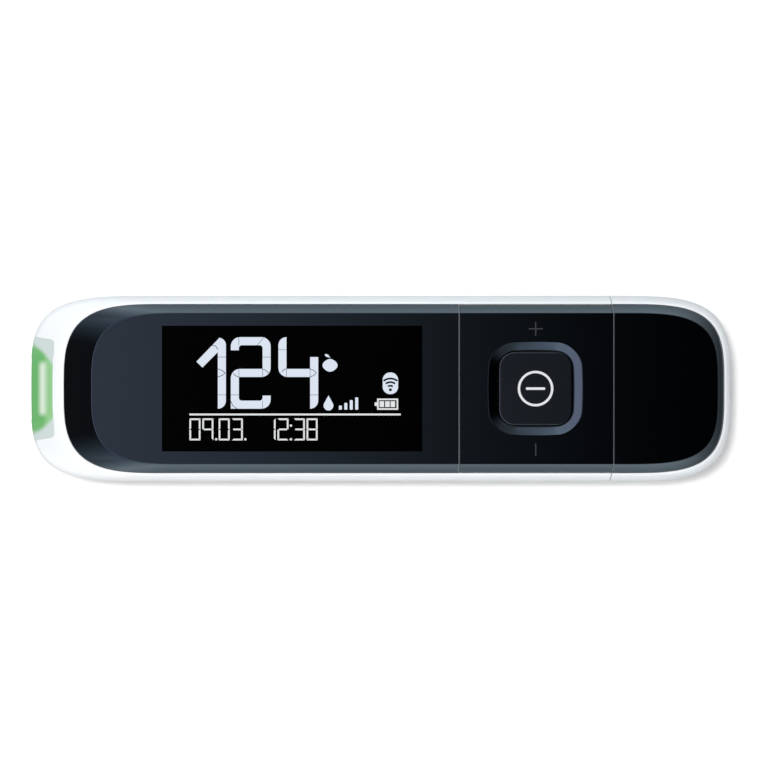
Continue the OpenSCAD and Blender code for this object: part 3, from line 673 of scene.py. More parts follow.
# Screws: radius of the heads, and radius and top of their bores
SCREW_HEAD_R, BORE_R, BORE_TOP = 1.5 * MM, 1.7 * MM, 1.2 * MM
# Light guide: its depth from the nose, the taper and corner radius of its front, and the room round it
GUIDE_DEPTH, GUIDE_TAPER, GUIDE_R, GUIDE_SLACK = 4.13 * MM, 0.8 * MM, 1.0 * MM, 0.03 * MM


def bay_outline(s, d):
    """Section of the bay inside the cap in Y and Z, drawn in by d."""
    half_w = s.body_w / 2 - BAY_SIDE - d
    low, high = BAY_FLOOR + d, s.shelf_z - BAY_ROOF - d
    corners = [(half_w, low), (half_w, high), (-half_w, high), (-half_w, low)]
    return rounded_outline(corners, BAY_R - d / 2)


def guide_outline(grow):
    """Front outline of the light guide in Y and Z, made larger by grow."""
    half_h = (GUIDE_HIGH.z - GUIDE_LOW.z) / 2
    mid = (GUIDE_HIGH.z + GUIDE_LOW.z) / 2
    half_w = (GUIDE_HIGH.y - GUIDE_LOW.y) / 2
    top_w = half_w - GUIDE_TAPER
    corners = [(half_w, mid), (top_w, mid + half_h), (-top_w, mid + half_h),
               (-half_w, mid), (-top_w, mid - half_h), (top_w, mid - half_h)]
    grown = [(y + math.copysign(grow, y), z + math.copysign(grow, z - mid) * (z != mid)) for y, z in corners]
    return rounded_outline(grown, GUIDE_R)


def guide_cutter(s, grow=GUIDE_SLACK):
    """Room of the light guide in the nose, square across at its upper and lower ends."""
    tip = -s.body_len / 2
    return prism("guide_cutter", guide_outline(grow), "X", tip - MM, tip + GUIDE_DEPTH + grow)


def plug_cutter():
    """Way of the USB plug through the case's end and the collar."""
    return block("plug_cutter", (CASE_END_X - PLUG_ROOT, USB_LOW.y - PLUG_SLACK, USB_LOW.z - PLUG_SLACK),
                 (TOP_HIGH.x + MM, USB_HIGH.y + PLUG_SLACK, USB_HIGH.z + PLUG_SLACK))


def collar_core(s):
    """Hollow of the collar, closed at its end."""
    return prism("core", bay_outline(s, COLLAR_SLACK + COLLAR_WALL), "X",
                 CASE_END_X - COLLAR_WALL - MM, TOP_HIGH.x - COLLAR_WALL)


def lower_case_piece(s):
    """Lower half of the case, hollow from the waist to its floor, with bores for the screws."""
    n = s.end_steps
    end_x = CASE_END_X + s.seam_closed
    rings = [end_ring(body_spec(s, "nose", z), end_x, z, n) for z in low_levels(s)]
    rings += [end_ring(shrunk(body_spec(s, "nose", z), s.wall), CASE_END_X - s.wall, z, n)
              for z in levels(s.waist_z, FLOOR_T, LOW_HOLLOW_STEPS)]
    piece = loft("case_bottom", rings)
    screws = frame["nodes"]["case_screws"]
    tools = [guide_cutter(s), plug_cutter(), collar_core(s)]
    tools += [disc("bore", x, y, BORE_R, -MM, BORE_TOP) for x, y in screw_places(screws)]
    combine(piece, tools, "DIFFERENCE")
    return smooth(soften(piece, s.edge_r * SHELL_EDGE))


def screw_places(node):
    """Middles of the four screws, which stand in the corners of their node's box."""
    low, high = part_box(node.name)
    r = SCREW_HEAD_R
    return [(x, y) for x in (low.x + r, high.x - r) for y in (low.y + r, high.y - r)]


def upper_case_piece(s):
    """Upper half of the case: a hollow body, a recess for the panel and a shelf with two openings."""
    n, o = s.end_steps, specs(s)
    shelf_low = s.shelf_z - SHELF_T
    end_x = CASE_END_X + s.seam_closed
    outer = [end_ring(body_spec(s, "nose", z), end_x, z, n)
             for z in levels(s.waist_z, s.rim_z - s.lip_w, UPPER_STEPS)]
    outer.append(end_ring(shrunk(o["nose_rim"], s.lip_w * LIP_LEAN), end_x, s.rim_z, n))
    piece = loft("case_top", outer)
    hollow = [end_ring(shrunk(body_spec(s, "nose", z), s.wall), CASE_END_X - s.wall,
                       z - MM * (z == s.waist_z), n)
              for z in levels(s.waist_z, shelf_low, TOP_HOLLOW_STEPS)]
    recess = end_ring(shrunk(o["nose_rim"], s.lip_w), CASE_END_X + MM, 0.0, n)
    half_w = o["nose_edge"][1] - s.seat_w

    def opening(x0, x1):
        return block("opening", (x0, -half_w, shelf_low - MM), (x1, half_w, s.shelf_z + MM))

    tools = [
        loft("hollow", hollow),
        plan_prism("recess", recess, s.shelf_z, s.body_h),
        opening(o["nose_flat"][0] + OPENING_BACK, BEZEL_HIGH.x - BRIDGE_BEFORE),
        opening(BEZEL_HIGH.x + BRIDGE_BEHIND, CASE_END_X - s.wall),
        guide_cutter(s), plug_cutter(), collar_core(s)]
    combine(piece, tools, "DIFFERENCE")
    return smooth(soften(piece, s.edge_r * SHELL_EDGE))


def collar_piece(s):
    """Collar round the USB plug, which the cap slides over."""
    piece = prism("cap_collar", bay_outline(s, COLLAR_SLACK), "X", CASE_END_X - COLLAR_ROOT, TOP_HIGH.x)
    combine(piece, [collar_core(s), plug_cutter()], "DIFFERENCE")
    return smooth(soften(piece, s.edge_r))


def cap_shell_piece(s):
    """White cap with the bay for the collar and the recess for its panel."""
    n, o = s.end_steps, specs(s)
    mouth = CAP_LOW.x - s.seam_closed
    heights = low_levels(s) + levels(s.waist_z, s.rim_z - s.lip_w, UPPER_STEPS)[1:]
    rings = [end_ring(body_spec(s, "tail", z), mouth, z, n) for z in heights]
    rings.append(end_ring(shrunk(o["tail_rim"], s.lip_w * LIP_LEAN), mouth, s.rim_z, n))
    piece = loft("cap_body", rings)
    recess = end_ring(shrunk(o["tail_rim"], s.lip_w), mouth - MM, 0.0, n)
    bay = prism("bay", bay_outline(s, 0.0), "X", mouth - MM, s.body_len / 2)
    plan = end_ring(shrunk(o["tail_rim"], BAY_INSIDE_RIM), mouth - MM, 0.0, n)
    combine(bay, [plan_prism("plan", plan, 0.0, s.body_h)], "INTERSECT")
    combine(piece, [bay, plan_prism("recess", recess, s.shelf_z, s.body_h)], "DIFFERENCE")
    return smooth(soften(piece, s.edge_r * SHELL_EDGE))


class METER_OT_shells(bpy.types.Operator):
    """Builds the white case halves, the collar and the cap"""

    bl_idname = "meter.shells"
    bl_label = "Shells"

    def execute(self, context):
        s, c = context.scene.meter_sizes, context.scene.meter_colours
        white = shell_white(c)
        dress(lower_case_piece(s), white, "case", ["lower_case"])
        dress(upper_case_piece(s), white, "case", ["upper_case"])
        dress(collar_piece(s), white, "case")
        dress(cap_shell_piece(s), white, "cap", ["cap_shell"])
        return {"FINISHED"}


# ---------------------------------------------------------------- panel


# How far the bezel laps over the window's edge
WINDOW_LAP = 0.95 * MM
# How much further the bezel's hollow reaches than its flat, and how much shorter it blends
POCKET_REACH, POCKET_SHORT = 0.6 * MM, 1.0 * MM
# Solid band left at the ends of the cap's panel and the rocker beside their hollows
END_SEAT = 1.2 * MM


def bevel_profile(s, steps=14, bulge=0.04):
    """Share of the way in and height for each ring of the bevel."""
    return [(t, s.rim_z + (s.body_h - s.rim_z) * (t + 4 * bulge * t * (1 - t)))
            for t in (i / steps for i in range(steps + 1))]


def panel_rings(s, edge, flat, x_cut):
    """Rings of a panel piece from its foot on the shelf up its bevel to its flat."""
    n = s.end_steps
    rings = [end_ring(edge, x_cut, s.shelf_z, n)]
    return rings + [end_ring(mix_spec(edge, flat, t), x_cut, z, n) for t, z in bevel_profile(s)]


def bezel_piece(s):
    """Bevelled panel over the nose, hollow below, with the window's aperture."""
    o = specs(s)
    piece = loft("bezel_panel", panel_rings(s, o["nose_edge"], o["nose_flat"], BEZEL_HIGH.x))
    low = s.body_h - s.panel_t
    tip, _, blend, power = o["nose_flat"]
    plan = (tip - POCKET_REACH, o["nose_edge"][1] - s.seat_w, blend - POCKET_SHORT, power)
    pocket = end_ring(plan, BEZEL_HIGH.x - BRIDGE_BEFORE, 0.0, s.end_steps)
    combine(piece, [plan_prism("pocket", pocket, s.shelf_z - MM, low)], "DIFFERENCE")
    soften(piece, s.seam_r, angle=22.0)
    x0, x1, y1 = WINDOW_LOW.x + WINDOW_LAP, WINDOW_HIGH.x - WINDOW_LAP, WINDOW_HIGH.y - WINDOW_LAP
    combine(piece, [block("aperture", (x0, -y1, low - MM), (x1, y1, s.body_h + MM))], "DIFFERENCE")
    return smooth(piece, angle=24.0)


def cap_panel_piece(s):
    """Bevelled panel on the cap, hollow below."""
    o = specs(s)
    piece = loft("cap_top", panel_rings(s, o["tail_edge"], o["tail_flat"], PANEL_LOW.x))
    pocket = end_ring(shrunk(o["tail_edge"], s.seat_w), PANEL_LOW.x + END_SEAT, 0.0, s.end_steps)
    combine(piece, [plan_prism("pocket", pocket, s.shelf_z - MM, s.body_h - s.panel_t)], "DIFFERENCE")
    return smooth(soften(piece, s.seam_r, angle=22.0), angle=24.0)


class METER_OT_panel(bpy.types.Operator):
    """Builds the bevelled display bezel and the panel on the cap"""

    bl_idname = "meter.panel"
    bl_label = "Panel"

    def execute(self, context):
        s, c = context.scene.meter_sizes, context.scene.meter_colours
        gloss = panel_gloss(c)
        dress(bezel_piece(s), gloss, "case", ["display_bezel"])
        dress(cap_panel_piece(s), gloss, "cap", ["cap_panel"])
        window = frame["nodes"]["display_window"]
        window.data.materials.clear()
        window.data.materials.append(lens_black(c))
        return {"FINISHED"}


# ---------------------------------------------------------------- keys


# How deep a seam's lip stands in its panel piece, and how far it is drawn in from the panel's section
SEAM_ROOT, SEAM_INSET = 0.1 * MM, 0.03 * MM
# Foot of the rocker's plate over the shelf
ROCKER_FOOT = 0.5 * MM
# Ring under the dish: how much wider than the dish, how far it hangs and how far it laps into the plate
RING_GROW, RING_HANG, RING_LAP = 0.8 * MM, 0.7 * MM, 0.3 * MM
# Bow of the sides of the key's hole and of the dish, as a share of their width
HOLE_BOW, DISH_BOW = 0.03, 0.06
# How far the dish is cut on above the panel
DISH_OVER = 0.2 * MM
# Bead round the dish: its reach at its foot and at its top, and its root in the plate
BEAD_FOOT, BEAD_TOP, BEAD_ROOT = 0.12 * MM, 0.02 * MM, 0.3 * MM
# Thickness of the power key, and the rounding of its edge with its steps
KEY_T, KEY_EDGE_R, KEY_EDGE_STEPS = 2.0 * MM, 0.22 * MM, 6
# The key's stem and how far it laps into the key, and the stop on the stem
STEM_R, STEM_LAP, STOP_R = 2.2 * MM, 0.4 * MM, 2.6 * MM
# Underside and top of the key's stop, below the shelf
STOP_LOW, STOP_HIGH = 1.9 * MM, 1.4 * MM
# Ring and bar of the power symbol
SYMBOL_R, SYMBOL_STROKE = 2.62 * MM, 0.35 * MM
SYMBOL_BAR_LEN, SYMBOL_BAR_W, SYMBOL_BAR_R = 2.86 * MM, 0.37 * MM, 0.1665 * MM
# Places and sizes of the plus and minus marks
PLUS_Y, MINUS_Y = 8.8 * MM, -9.0 * MM
PLUS_LEN, MINUS_LEN, MARK_STROKE = 2.05 * MM, 1.845 * MM, 0.18 * MM
# Share of the seam's colour that the cap's seam shows, a dimmer copy as painted shade, and share of the
# printed power symbol's white given as a painted glow
CAP_SEAM_SHADED_SHARE, SYMBOL_PAINTED_GLOW = 0.62, 0.6
# How deep a print stands in its face, and its thickness on the key and on the rocker
PRINT_ROOT, KEY_PRINT_T, ROCKER_PRINT_T = 0.01 * MM, 0.03 * MM, 0.025 * MM


def key_centre_x():
    """Middle of the power key along the meter."""
    return (KEY_LOW.x + KEY_HIGH.x) / 2


def dish_profile(steps=16, curl=0.12, curl_slope=0.6, crest=0.10, crest_slope=0.25):
    """Share of the way out and drop of the dish: it curls up from the key, runs straight and crests."""

    def slope(t):
        return mix(curl_slope, 1.0, min(t / curl, 1.0)) * mix(crest_slope, 1.0, min((1.0 - t) / crest, 1.0))

    rise = [0.0]
    for i in range(steps):
        rise.append(rise[-1] + slope((i + 0.5) / steps))
    return [(i / steps, 1.0 - rise[i] / rise[-1]) for i in range(steps + 1)]


def rocker_outline(s, d=0.0):
    """Section of the rocker in Y and Z, drawn in by d."""
    half_w = ROCKER_HIGH.y - d
    flat_w = specs(s)["nose_flat"][1] - d / 2
    side = [(half_w + (flat_w - half_w) * t, z - d) for t, z in bevel_profile(s)]
    low = s.shelf_z + ROCKER_FOOT
    return [(-half_w, low), (half_w, low)] + side + [(-y, z) for y, z in reversed(side)]


def seam_lip_piece(s, name, x0, x1):
    """Pale lip between two panel pieces: the white case seen in the seam, coloured with painted shade and a
    painted highlight for their edges.
    """
    return smooth(prism(name, rocker_outline(s, SEAM_INSET), "X", x0, x1), angle=30.0)


def rocker_piece(s):
    """Rocker plate with the dished ring, its bead and the hole for the power key."""
    outline = rocker_outline(s)
    low, under = outline[0][1], s.body_h - s.panel_t
    piece = prism("rocker_panel", outline, "X", ROCKER_LOW.x, ROCKER_HIGH.x)
    pocket_w = specs(s)["nose_edge"][1] - s.seat_w
    pocket = block("pocket", (ROCKER_LOW.x + END_SEAT, -pocket_w, low - MM),
                   (ROCKER_HIGH.x - END_SEAT, pocket_w, under))
    combine(piece, [pocket], "DIFFERENCE")
    x, hole_w, hole_r = key_centre_x(), KEY_HIGH.y * 2 + 2 * s.key_gap, s.key_r + s.key_gap
    ring = loft("collar", [square_ring(s.dish_w + RING_GROW, s.dish_r, x, z)
                           for z in (under - RING_HANG, under + RING_LAP)])
    combine(piece, [ring], "UNION")
    soften(piece, s.seam_r, angle=25.0)
    bead = [square_ring(s.dish_w + 2 * out, s.dish_r + out, x, s.body_h + rise, bow=DISH_BOW)
            for out, rise in ((BEAD_FOOT, -BEAD_ROOT), (BEAD_FOOT, 0.0), (BEAD_TOP, s.dish_bead))]
    combine(piece, [loft("bead", bead)], "UNION")
    bowl = [square_ring(mix(hole_w, s.dish_w, t), mix(hole_r, s.dish_r, t), x, s.body_h - s.dish_depth * drop,
                        bow=mix(HOLE_BOW, DISH_BOW, t)) for t, drop in dish_profile()]
    bowl.append(square_ring(s.dish_w, s.dish_r, x, s.body_h + DISH_OVER, bow=DISH_BOW))
    well = [square_ring(hole_w, hole_r, x, z, bow=HOLE_BOW) for z in (low, s.body_h)]
    combine(piece, [loft("bowl", bowl), loft("well", well)], "DIFFERENCE")
    return smooth(piece, angle=20.0)


def power_key_piece(s):
    """Square power key with a rounded edge, on a stem with a stop."""
    w, top, x = KEY_HIGH.y * 2, KEY_HIGH.z, key_centre_x()
    low, r = top - KEY_T, KEY_EDGE_R
    rings = [square_ring(w, s.key_r, x, low), square_ring(w, s.key_r, x, top - r)]
    for i in range(1, KEY_EDGE_STEPS + 1):
        a = math.pi / 2 * i / KEY_EDGE_STEPS
        inset = r * (1 - math.cos(a))
        rings.append(square_ring(w - 2 * inset, s.key_r - inset, x, top - r + r * math.sin(a)))
    piece = loft("power_key", rings)
    combine(piece, [disc("stem", x, 0.0, STEM_R, KEY_LOW.z, low + STEM_LAP),
                    disc("stop", x, 0.0, STOP_R, s.shelf_z - STOP_LOW, s.shelf_z - STOP_HIGH)], "UNION")
    return smooth(piece, angle=35.0)


def ring_band(cx, cy, r, stroke, a0=0.0, a1=2 * math.pi, steps=64):
    """Outlines of a band along an arc, one small four-sided piece after another."""
    out = []
    for k in range(steps):
        p, q = mix(a0, a1, k / steps), mix(a0, a1, (k + 1) / steps)
        out.append([on_circle(cx, cy, radius, a)
                    for radius, a in ((r - stroke, p), (r, p), (r, q), (r - stroke, q))])
    return out


def power_symbol():
    """Ring with a short bar in it, printed on the power key."""
    x = key_centre_x()
    short_bar = rounded_outline(bar(x, 0.0, SYMBOL_BAR_LEN, SYMBOL_BAR_W), SYMBOL_BAR_R)
    outlines = ring_band(x, 0.0, SYMBOL_R, SYMBOL_STROKE) + [short_bar]
    return flat_mark("power_symbol", outlines, KEY_HIGH.z - PRINT_ROOT, KEY_PRINT_T)


def rocker_marks(s):
    """Plus and minus on the rocker; the plus is one long bar with a short arm on each side."""
    x = key_centre_x()
    arm = (PLUS_LEN - MARK_STROKE) / 2
    off = (arm + MARK_STROKE) / 2
    outlines = [bar(x, PLUS_Y, PLUS_LEN, MARK_STROKE), bar(x, MINUS_Y, MARK_STROKE, MINUS_LEN)]
    outlines += [bar(x, PLUS_Y + side * off, MARK_STROKE, arm) for side in (1, -1)]
    return flat_mark("rocker_marks", outlines, s.body_h - PRINT_ROOT, ROCKER_PRINT_T)


class METER_OT_keys(bpy.types.Operator):
    """Builds the rocker with its dished ring, the power key, their marks and the lips of the seams"""

    bl_idname = "meter.keys"
    bl_label = "Keys"

    def execute(self, context):
        s, c = context.scene.meter_sizes, context.scene.meter_colours
        dress(rocker_piece(s), panel_gloss(c), "rocker", ["rocker_plate"])
        # Pale seam lips stand in for the seams' light lines: painted highlight and shade, the cap's one a
        # dimmer copy
        for name, body, x0, x1, share in (
                ("bezel_seam", "case", BEZEL_HIGH.x - SEAM_ROOT, BEZEL_HIGH.x + s.seam_lip, 1.0),
                ("cap_seam", "cap", PANEL_LOW.x - s.seam_lip, PANEL_LOW.x + SEAM_ROOT, CAP_SEAM_SHADED_SHARE)):
            dress(seam_lip_piece(s, name, x0, x1), painted_seam_lip_finish(c, name + "_pale", share), body)
        dress(power_key_piece(s), key_satin(c), "power_key", ["power_button"])
        # The power symbol is white print, no lamp: its emission is a painted glow
        symbol_print_painted_glow = lit_figures("symbol_print_painted_glow", c.symbol, SYMBOL_PAINTED_GLOW)
        dress(power_symbol(), symbol_print_painted_glow, "power_key")
        dress(rocker_marks(s), lit_figures("mark_print", c.marks, 0.0), "rocker")
        return {"FINISHED"}


# ---------------------------------------------------------------- display


# Sizes of the display's figures, in millimetres, as are all the outlines below
BIG_W, BIG_H, STROKE = 5.86, 10.53, 1.19
SMALL_W, SMALL_H, SMALL_STROKE, SMALL_GAP = 1.63, 3.24, 0.25, 0.03
READING_Y, DATE_Y = -2.96, -7.62
# Hairlines between the segments of the big figures, straight and bent
HAIRLINE, BENT_HAIRLINE = 0.06, 0.09
# Height of the figures over the window, and their thickness, in metres
PRINT_LIFT, INK_T = 0.004 * MM, 0.008 * MM


def shifted(outline, dx, dy):
    """The outline moved by (dx, dy)."""
    return [(x + dx, y + dy) for x, y in outline]


def polyline(points, width):
    """Outlines of thin bars from point to point."""
    out = []
    for p, q in zip(points, points[1:]):
        a, b = Vector(p), Vector(q)
        side = (b - a).normalized().orthogonal() * (width / 2)
        out.append([tuple(a - side), tuple(b - side), tuple(b + side), tuple(a + side)])
    return out


def big_figures():
    """Outlines of the reading and of the hairlines between its segments."""
    w, h, s = BIG_W, BIG_H, STROKE
    low, high = h / 2 - s / 2, h / 2 + s / 2
    one = [(0, 0), (s, 0, s), (s, h - 0.1, 1.05), (0.24, h - 0.1), (-3.15, h - 3.6), (-2.26, h - 4.47),
           (0, h - 2.2)]
    two = [(0, h - 1.93), (0, h, 1.35), (w, h, 1.35), (w, low, 1.35), (s, low, 0.12), (s, s, 0.42),
           (w - s, s, 0.42), (w - s, 1.93), (w, 1.93), (w, 0, 1.35), (0, 0), (0, high, 1.35),
           (w - s, high, 0.12), (w - s, h - s, 0.42), (s, h - s, 0.42), (s, h - 1.93)]
    four = [(s, h), (s, high, 0.1), (w - s, high), (w - s, h - 2.93), (w, h - 2.93), (w, 0, s), (w - s, 0),
            (w - s, low, 0.1), (0, low, 1.35), (0, h, s)]
    one_lines = [[(0, 7.6), (s, 7.6)], [(0, 2.04), (s, 2.04)],
                 [(-0.9, h - 1.2), (-0.3, h - 1.3), (0, h - 1.8)],
                 [(0, high), (0.6, high - 0.2), (1.08, h / 2), (0.6, low + 0.2), (0, low)]]
    two_lines = [[(s, h), (s, h - s)], [(4.81, h - 0.1), (3.83, h - 1.25)], [(w - s, 7.6), (w, 7.6)],
                 [(w - s, high), (w - s, low)], [(w - s, high), (w - 0.75, high - 0.2), (w - 0.3, h / 2)],
                 [(s, high), (s, low)], [(0.38, h / 2 - 0.06), (0.7, low + 0.18), (s, low)],
                 [(0, 2.04), (s, 2.04)], [(0, 1.1), (0.3, 0.45), (0.9, 0)], [(w - s, s), (w - s, 0)]]
    four_lines = [[(0, 8.67), (s, 8.67)], [(0.5, 5.4), (0.85, 5.8), (s, high)], [(s, high), (s, low)],
                  [(w - s, high), (w - s, low)], [(w - s, 2.04), (w, 2.04)],
                  [(w - s, high), (w - 0.7, high - 0.2), (w - 0.25, h / 2), (w - 0.7, low + 0.2),
                   (w - s, low)]]
    shapes, lines = [], []
    for x, shape, cuts in ((-10.93, one, one_lines), (-9.02, two, two_lines), (-2.02, four, four_lines)):
        shapes.append(shifted(rounded_outline(shape), x, READING_Y))
        for cut in cuts:
            lines += polyline(shifted(cut, x, READING_Y), HAIRLINE if len(cut) == 2 else BENT_HAIRLINE)
    return shapes, lines


def small_figure(digit, x, y):
    """Outlines of the lit segments of a seven-segment figure."""
    w, h, s, g = SMALL_W, SMALL_H, SMALL_STROKE, SMALL_GAP
    m, q = h / 2, s / 2
    bars = {
        "a": [(g, h), (w - g, h), (w - s - g, h - s), (s + g, h - s)],
        "b": [(w, h - g), (w, m + g), (w - q, m + g), (w - s, m + q + g), (w - s, h - s - g)],
        "c": [(w, m - g), (w, g), (w - s, s + g), (w - s, m - q - g), (w - q, m - g)],
        "d": [(g, 0), (s + g, s), (w - s - g, s), (w - g, 0)],
        "e": [(0, g), (0, m - g), (q, m - g), (s, m - q - g), (s, s + g)],
        "f": [(0, m + g), (0, h - g), (s, h - s - g), (s, m + q + g), (q, m + g)],
        "g": [(q + g, m), (s + g, m + q), (w - s - g, m + q), (w - q - g, m),
              (w - s - g, m - q), (s + g, m - q)]}
    lit = {"0": "abcdef", "1": "bc", "2": "abged", "3": "abgcd", "8": "abcdefg", "9": "abcfg"}[digit]
    return [shifted(bars[key], x, y) for key in lit]


def small_figures():
    """Outlines of the date, the time, the ruling above them and the battery."""
    out = [[(-15.12, -3.94), (15.97, -3.94), (15.97, -3.67), (-15.12, -3.67)]]
    for digit, x in (("0", -15.11), ("9", -13.21), ("0", -10.81), ("3", -8.88), ("1", -4.06), ("2", -2.16),
                     ("3", 0.25), ("8", 2.12)):
        out += small_figure(digit, x, DATE_Y)
    out += [circle(x, y, 0.18) for x, y in ((-11.17, -7.46), (-6.88, -7.46), (-0.18, -7.46), (-0.18, -5.44))]
    left, right, low, high, wall, cell_w, cell_h = 12.5, 15.6, -3.12, -1.46, 0.24, 0.66, 0.86
    x, y, w, h = (left + right) / 2, (low + high) / 2, right - left, high - low
    out += [bar(x, low + wall / 2, w, wall), bar(x, high - wall / 2, w, wall),
            bar(left + wall / 2, y, wall, h), bar(right - wall / 2, y, wall, h),
            rounded_outline([(12.13, -2.56, 0.14), (left, -2.56), (left, -2.02), (12.13, -2.02, 0.14)])]
    out += [bar(cell_x, y, cell_w, cell_h) for cell_x in (13.2, 14.02, 14.82)]
    return out


def drop_outline(x, y, r, rise, steps=24):
    """Drop with a round foot centred on (x, y) and its tip at the given rise."""
    lean = math.acos(r / rise)
    arc = [math.pi / 2 - lean - (2 * math.pi - 2 * lean) * k / steps for k in range(steps + 1)]
    return [on_circle(x, y, r, a) for a in arc] + [(x, y + rise)]


def fruit_and_unit():
    """Outlines of the fruit, its leaf, the drop and its level bars."""
    fruit = [(5.58 + 1.04 * math.cos(a) + 0.07 * math.cos(3 * a), 3.42 + 0.94 * math.sin(a))
             for a in (2 * math.pi * k / 36 for k in range(36))]
    leaf = rounded_outline([(5.62, 4.52), (4.95, 4.72, 0.1), (4.72, 5.16, 0.1), (5.3, 5.0, 0.12)], steps=4)
    out = [fruit, leaf, drop_outline(5.35, -2.5, 0.72, 1.5)]
    foot, half_w = -3.1, 0.22
    for x, top in ((7.1, -2.5), (7.9, -2.1), (8.7, -1.7), (9.5, -1.3)):
        corners = [(x - half_w, foot), (x + half_w, foot), (x + half_w, top), (x - half_w, top)]
        out.append(rounded_outline(corners, 0.08))
    return out


def badge():
    """Outline of the radio badge, and the dot and arcs on it."""
    x, y = 14.46, 0.78
    body = rounded_outline(bar(x, y, 2.27, 3.18), r=1.08, steps=12)
    dot_y = y - 0.95
    marks = [circle(x, dot_y, 0.22)]
    for r in (0.72, 1.25, 1.78):
        marks += ring_band(x, dot_y, r, 0.26, math.radians(52), math.radians(128), 10)
    return body, marks


def print_on_window(name, outlines, step):
    """Flat figures just over the window, each step a little higher than the last."""
    cx = (WINDOW_LOW.x + WINDOW_HIGH.x) / 2
    placed = [[(cx + x * MM, y * MM) for x, y in outline] for outline in outlines]
    return flat_mark(name, placed, WINDOW_HIGH.z + PRINT_LIFT + INK_T * step, INK_T)


class METER_OT_display(bpy.types.Operator):
    """Draws the lit figures of the display"""

    bl_idname = "meter.display"
    bl_label = "Display"

    def execute(self, context):
        c = context.scene.meter_colours
        bright = lit_figures("figures_lit", c.figures, 1.0)
        plain = lit_figures("rulings_lit", c.rulings, 1.0)
        black = lens_black(c)
        shapes, lines = big_figures()
        body, marks = badge()
        for name, outlines, step, material, slot in (
                ("reading", shapes + fruit_and_unit() + [body], 0, bright, "white_plastic"),
                ("date_and_time", small_figures(), 0, plain, "white_plastic"),
                ("segment_gaps", lines + marks, 1, black, "display_lens")):
            dress(print_on_window(name, outlines, step), material, "case")
        return {"FINISHED"}


# ---------------------------------------------------------------- light guide


# Wall of the guide, how far its blank stands over its node's height, and the rounding of its edges
GUIDE_WALL, GUIDE_OVER, GUIDE_EDGE_R = 1.6 * MM, 0.2 * MM, 0.1 * MM
# Slot for the test strip
SLOT_HALF_W, SLOT_HALF_H, SLOT_DEPTH = 4.6 * MM, 0.65 * MM, 3.0 * MM


def light_guide_piece(s):
    """The nose's own skin in the guide's room, hollow behind, with the slot for the strip."""
    n, tip = s.end_steps, -s.body_len / 2
    z0, z1 = GUIDE_LOW.z - GUIDE_OVER, GUIDE_HIGH.z + GUIDE_OVER
    heights = levels(z0, s.waist_z, UPPER_STEPS) + levels(s.waist_z, z1, UPPER_STEPS)[1:]
    piece = loft("port_guide", [end_ring(body_spec(s, "nose", z), 0.0, z, n) for z in heights])
    combine(piece, [guide_cutter(s, 0.0)], "INTERSECT")
    inner = [end_ring(shrunk(body_spec(s, "nose", z), GUIDE_WALL), MM, z, n) for z in heights]
    inner.insert(0, [p - Vector((0, 0, MM)) for p in inner[0]])
    inner.append([p + Vector((0, 0, MM)) for p in inner[-1]])
    slot_z = (STRIP_LOW.z + STRIP_HIGH.z) / 2
    slot = block("slot", (tip - MM, -SLOT_HALF_W, slot_z - SLOT_HALF_H),
                 (tip + SLOT_DEPTH, SLOT_HALF_W, slot_z + SLOT_HALF_H))
    combine(piece, [loft("inner", inner), slot], "DIFFERENCE")
    return smooth(soften(piece, GUIDE_EDGE_R))


class METER_OT_light_guide(bpy.types.Operator):
    """Builds the lit guide round the strip port"""

    bl_idname = "meter.light_guide"
    bl_label = "Light guide"

    def execute(self, context):
        s, c = context.scene.meter_sizes, context.scene.meter_colours
        dress(light_guide_piece(s), guide_milk(c), "case", ["port_light_guide"])
        return {"FINISHED"}


# ---------------------------------------------------------------- inner parts


class METER_OT_inner_parts(bpy.types.Operator):
    """Gives every node that keeps its own shape its finish"""

    bl_idname = "meter.inner_parts"
    bl_label = "Inner parts"

    def execute(self, context):
        for name, material in inner_finishes().items():
            node = frame["nodes"][name]
            if node.hide_render or name == "display_window":
                continue
            node.data.materials.clear()
            node.data.materials.append(material)
        return {"FINISHED"}


# ---------------------------------------------------------------- stage


# Straight above the meter, looking down
CAMERA_PLACE = (1.45 * MM, -0.28 * MM, 316.0 * MM)
LENS_MM, SENSOR_MM = 94.0, 36.0
CLIP_NEAR, CLIP_FAR = 0.01, 10.0
# The floor's half width and thickness, and how far its top lies under the meter
FLOOR_HALF, FLOOR_DEPTH, FLOOR_DROP = 4.0, 20.0 * MM, 0.02 * MM
# Share of the sky's mirrored brightness that it also gives as plain light
SKY_FILL = 0.322
NEUTRAL, WARM = (1.0, 1.0, 1.0), (1.0, 0.9, 0.84)
# Name, power in watts, place and width in metres, and tint of each lamp
LAMPS = (
    ("top", 1.69, (-0.065, 0.045, 0.5), 0.065, NEUTRAL),
    ("nose_fill", 0.01, (-0.25, -0.25, 0.15), 0.15, WARM),
    ("tail_fill", 0.112, (0.2, -0.02, 0.07), 0.1, NEUTRAL),
    ("front_fill", 0.055, (0.1, -0.3, 0.12), 0.15, WARM),
    ("left_side_fill", 0.02, (-0.055, 0.11, 0.03), 0.05, NEUTRAL),
    ("right_side_fill", 0.03, (-0.055, -0.11, 0.03), 0.05, WARM),
)


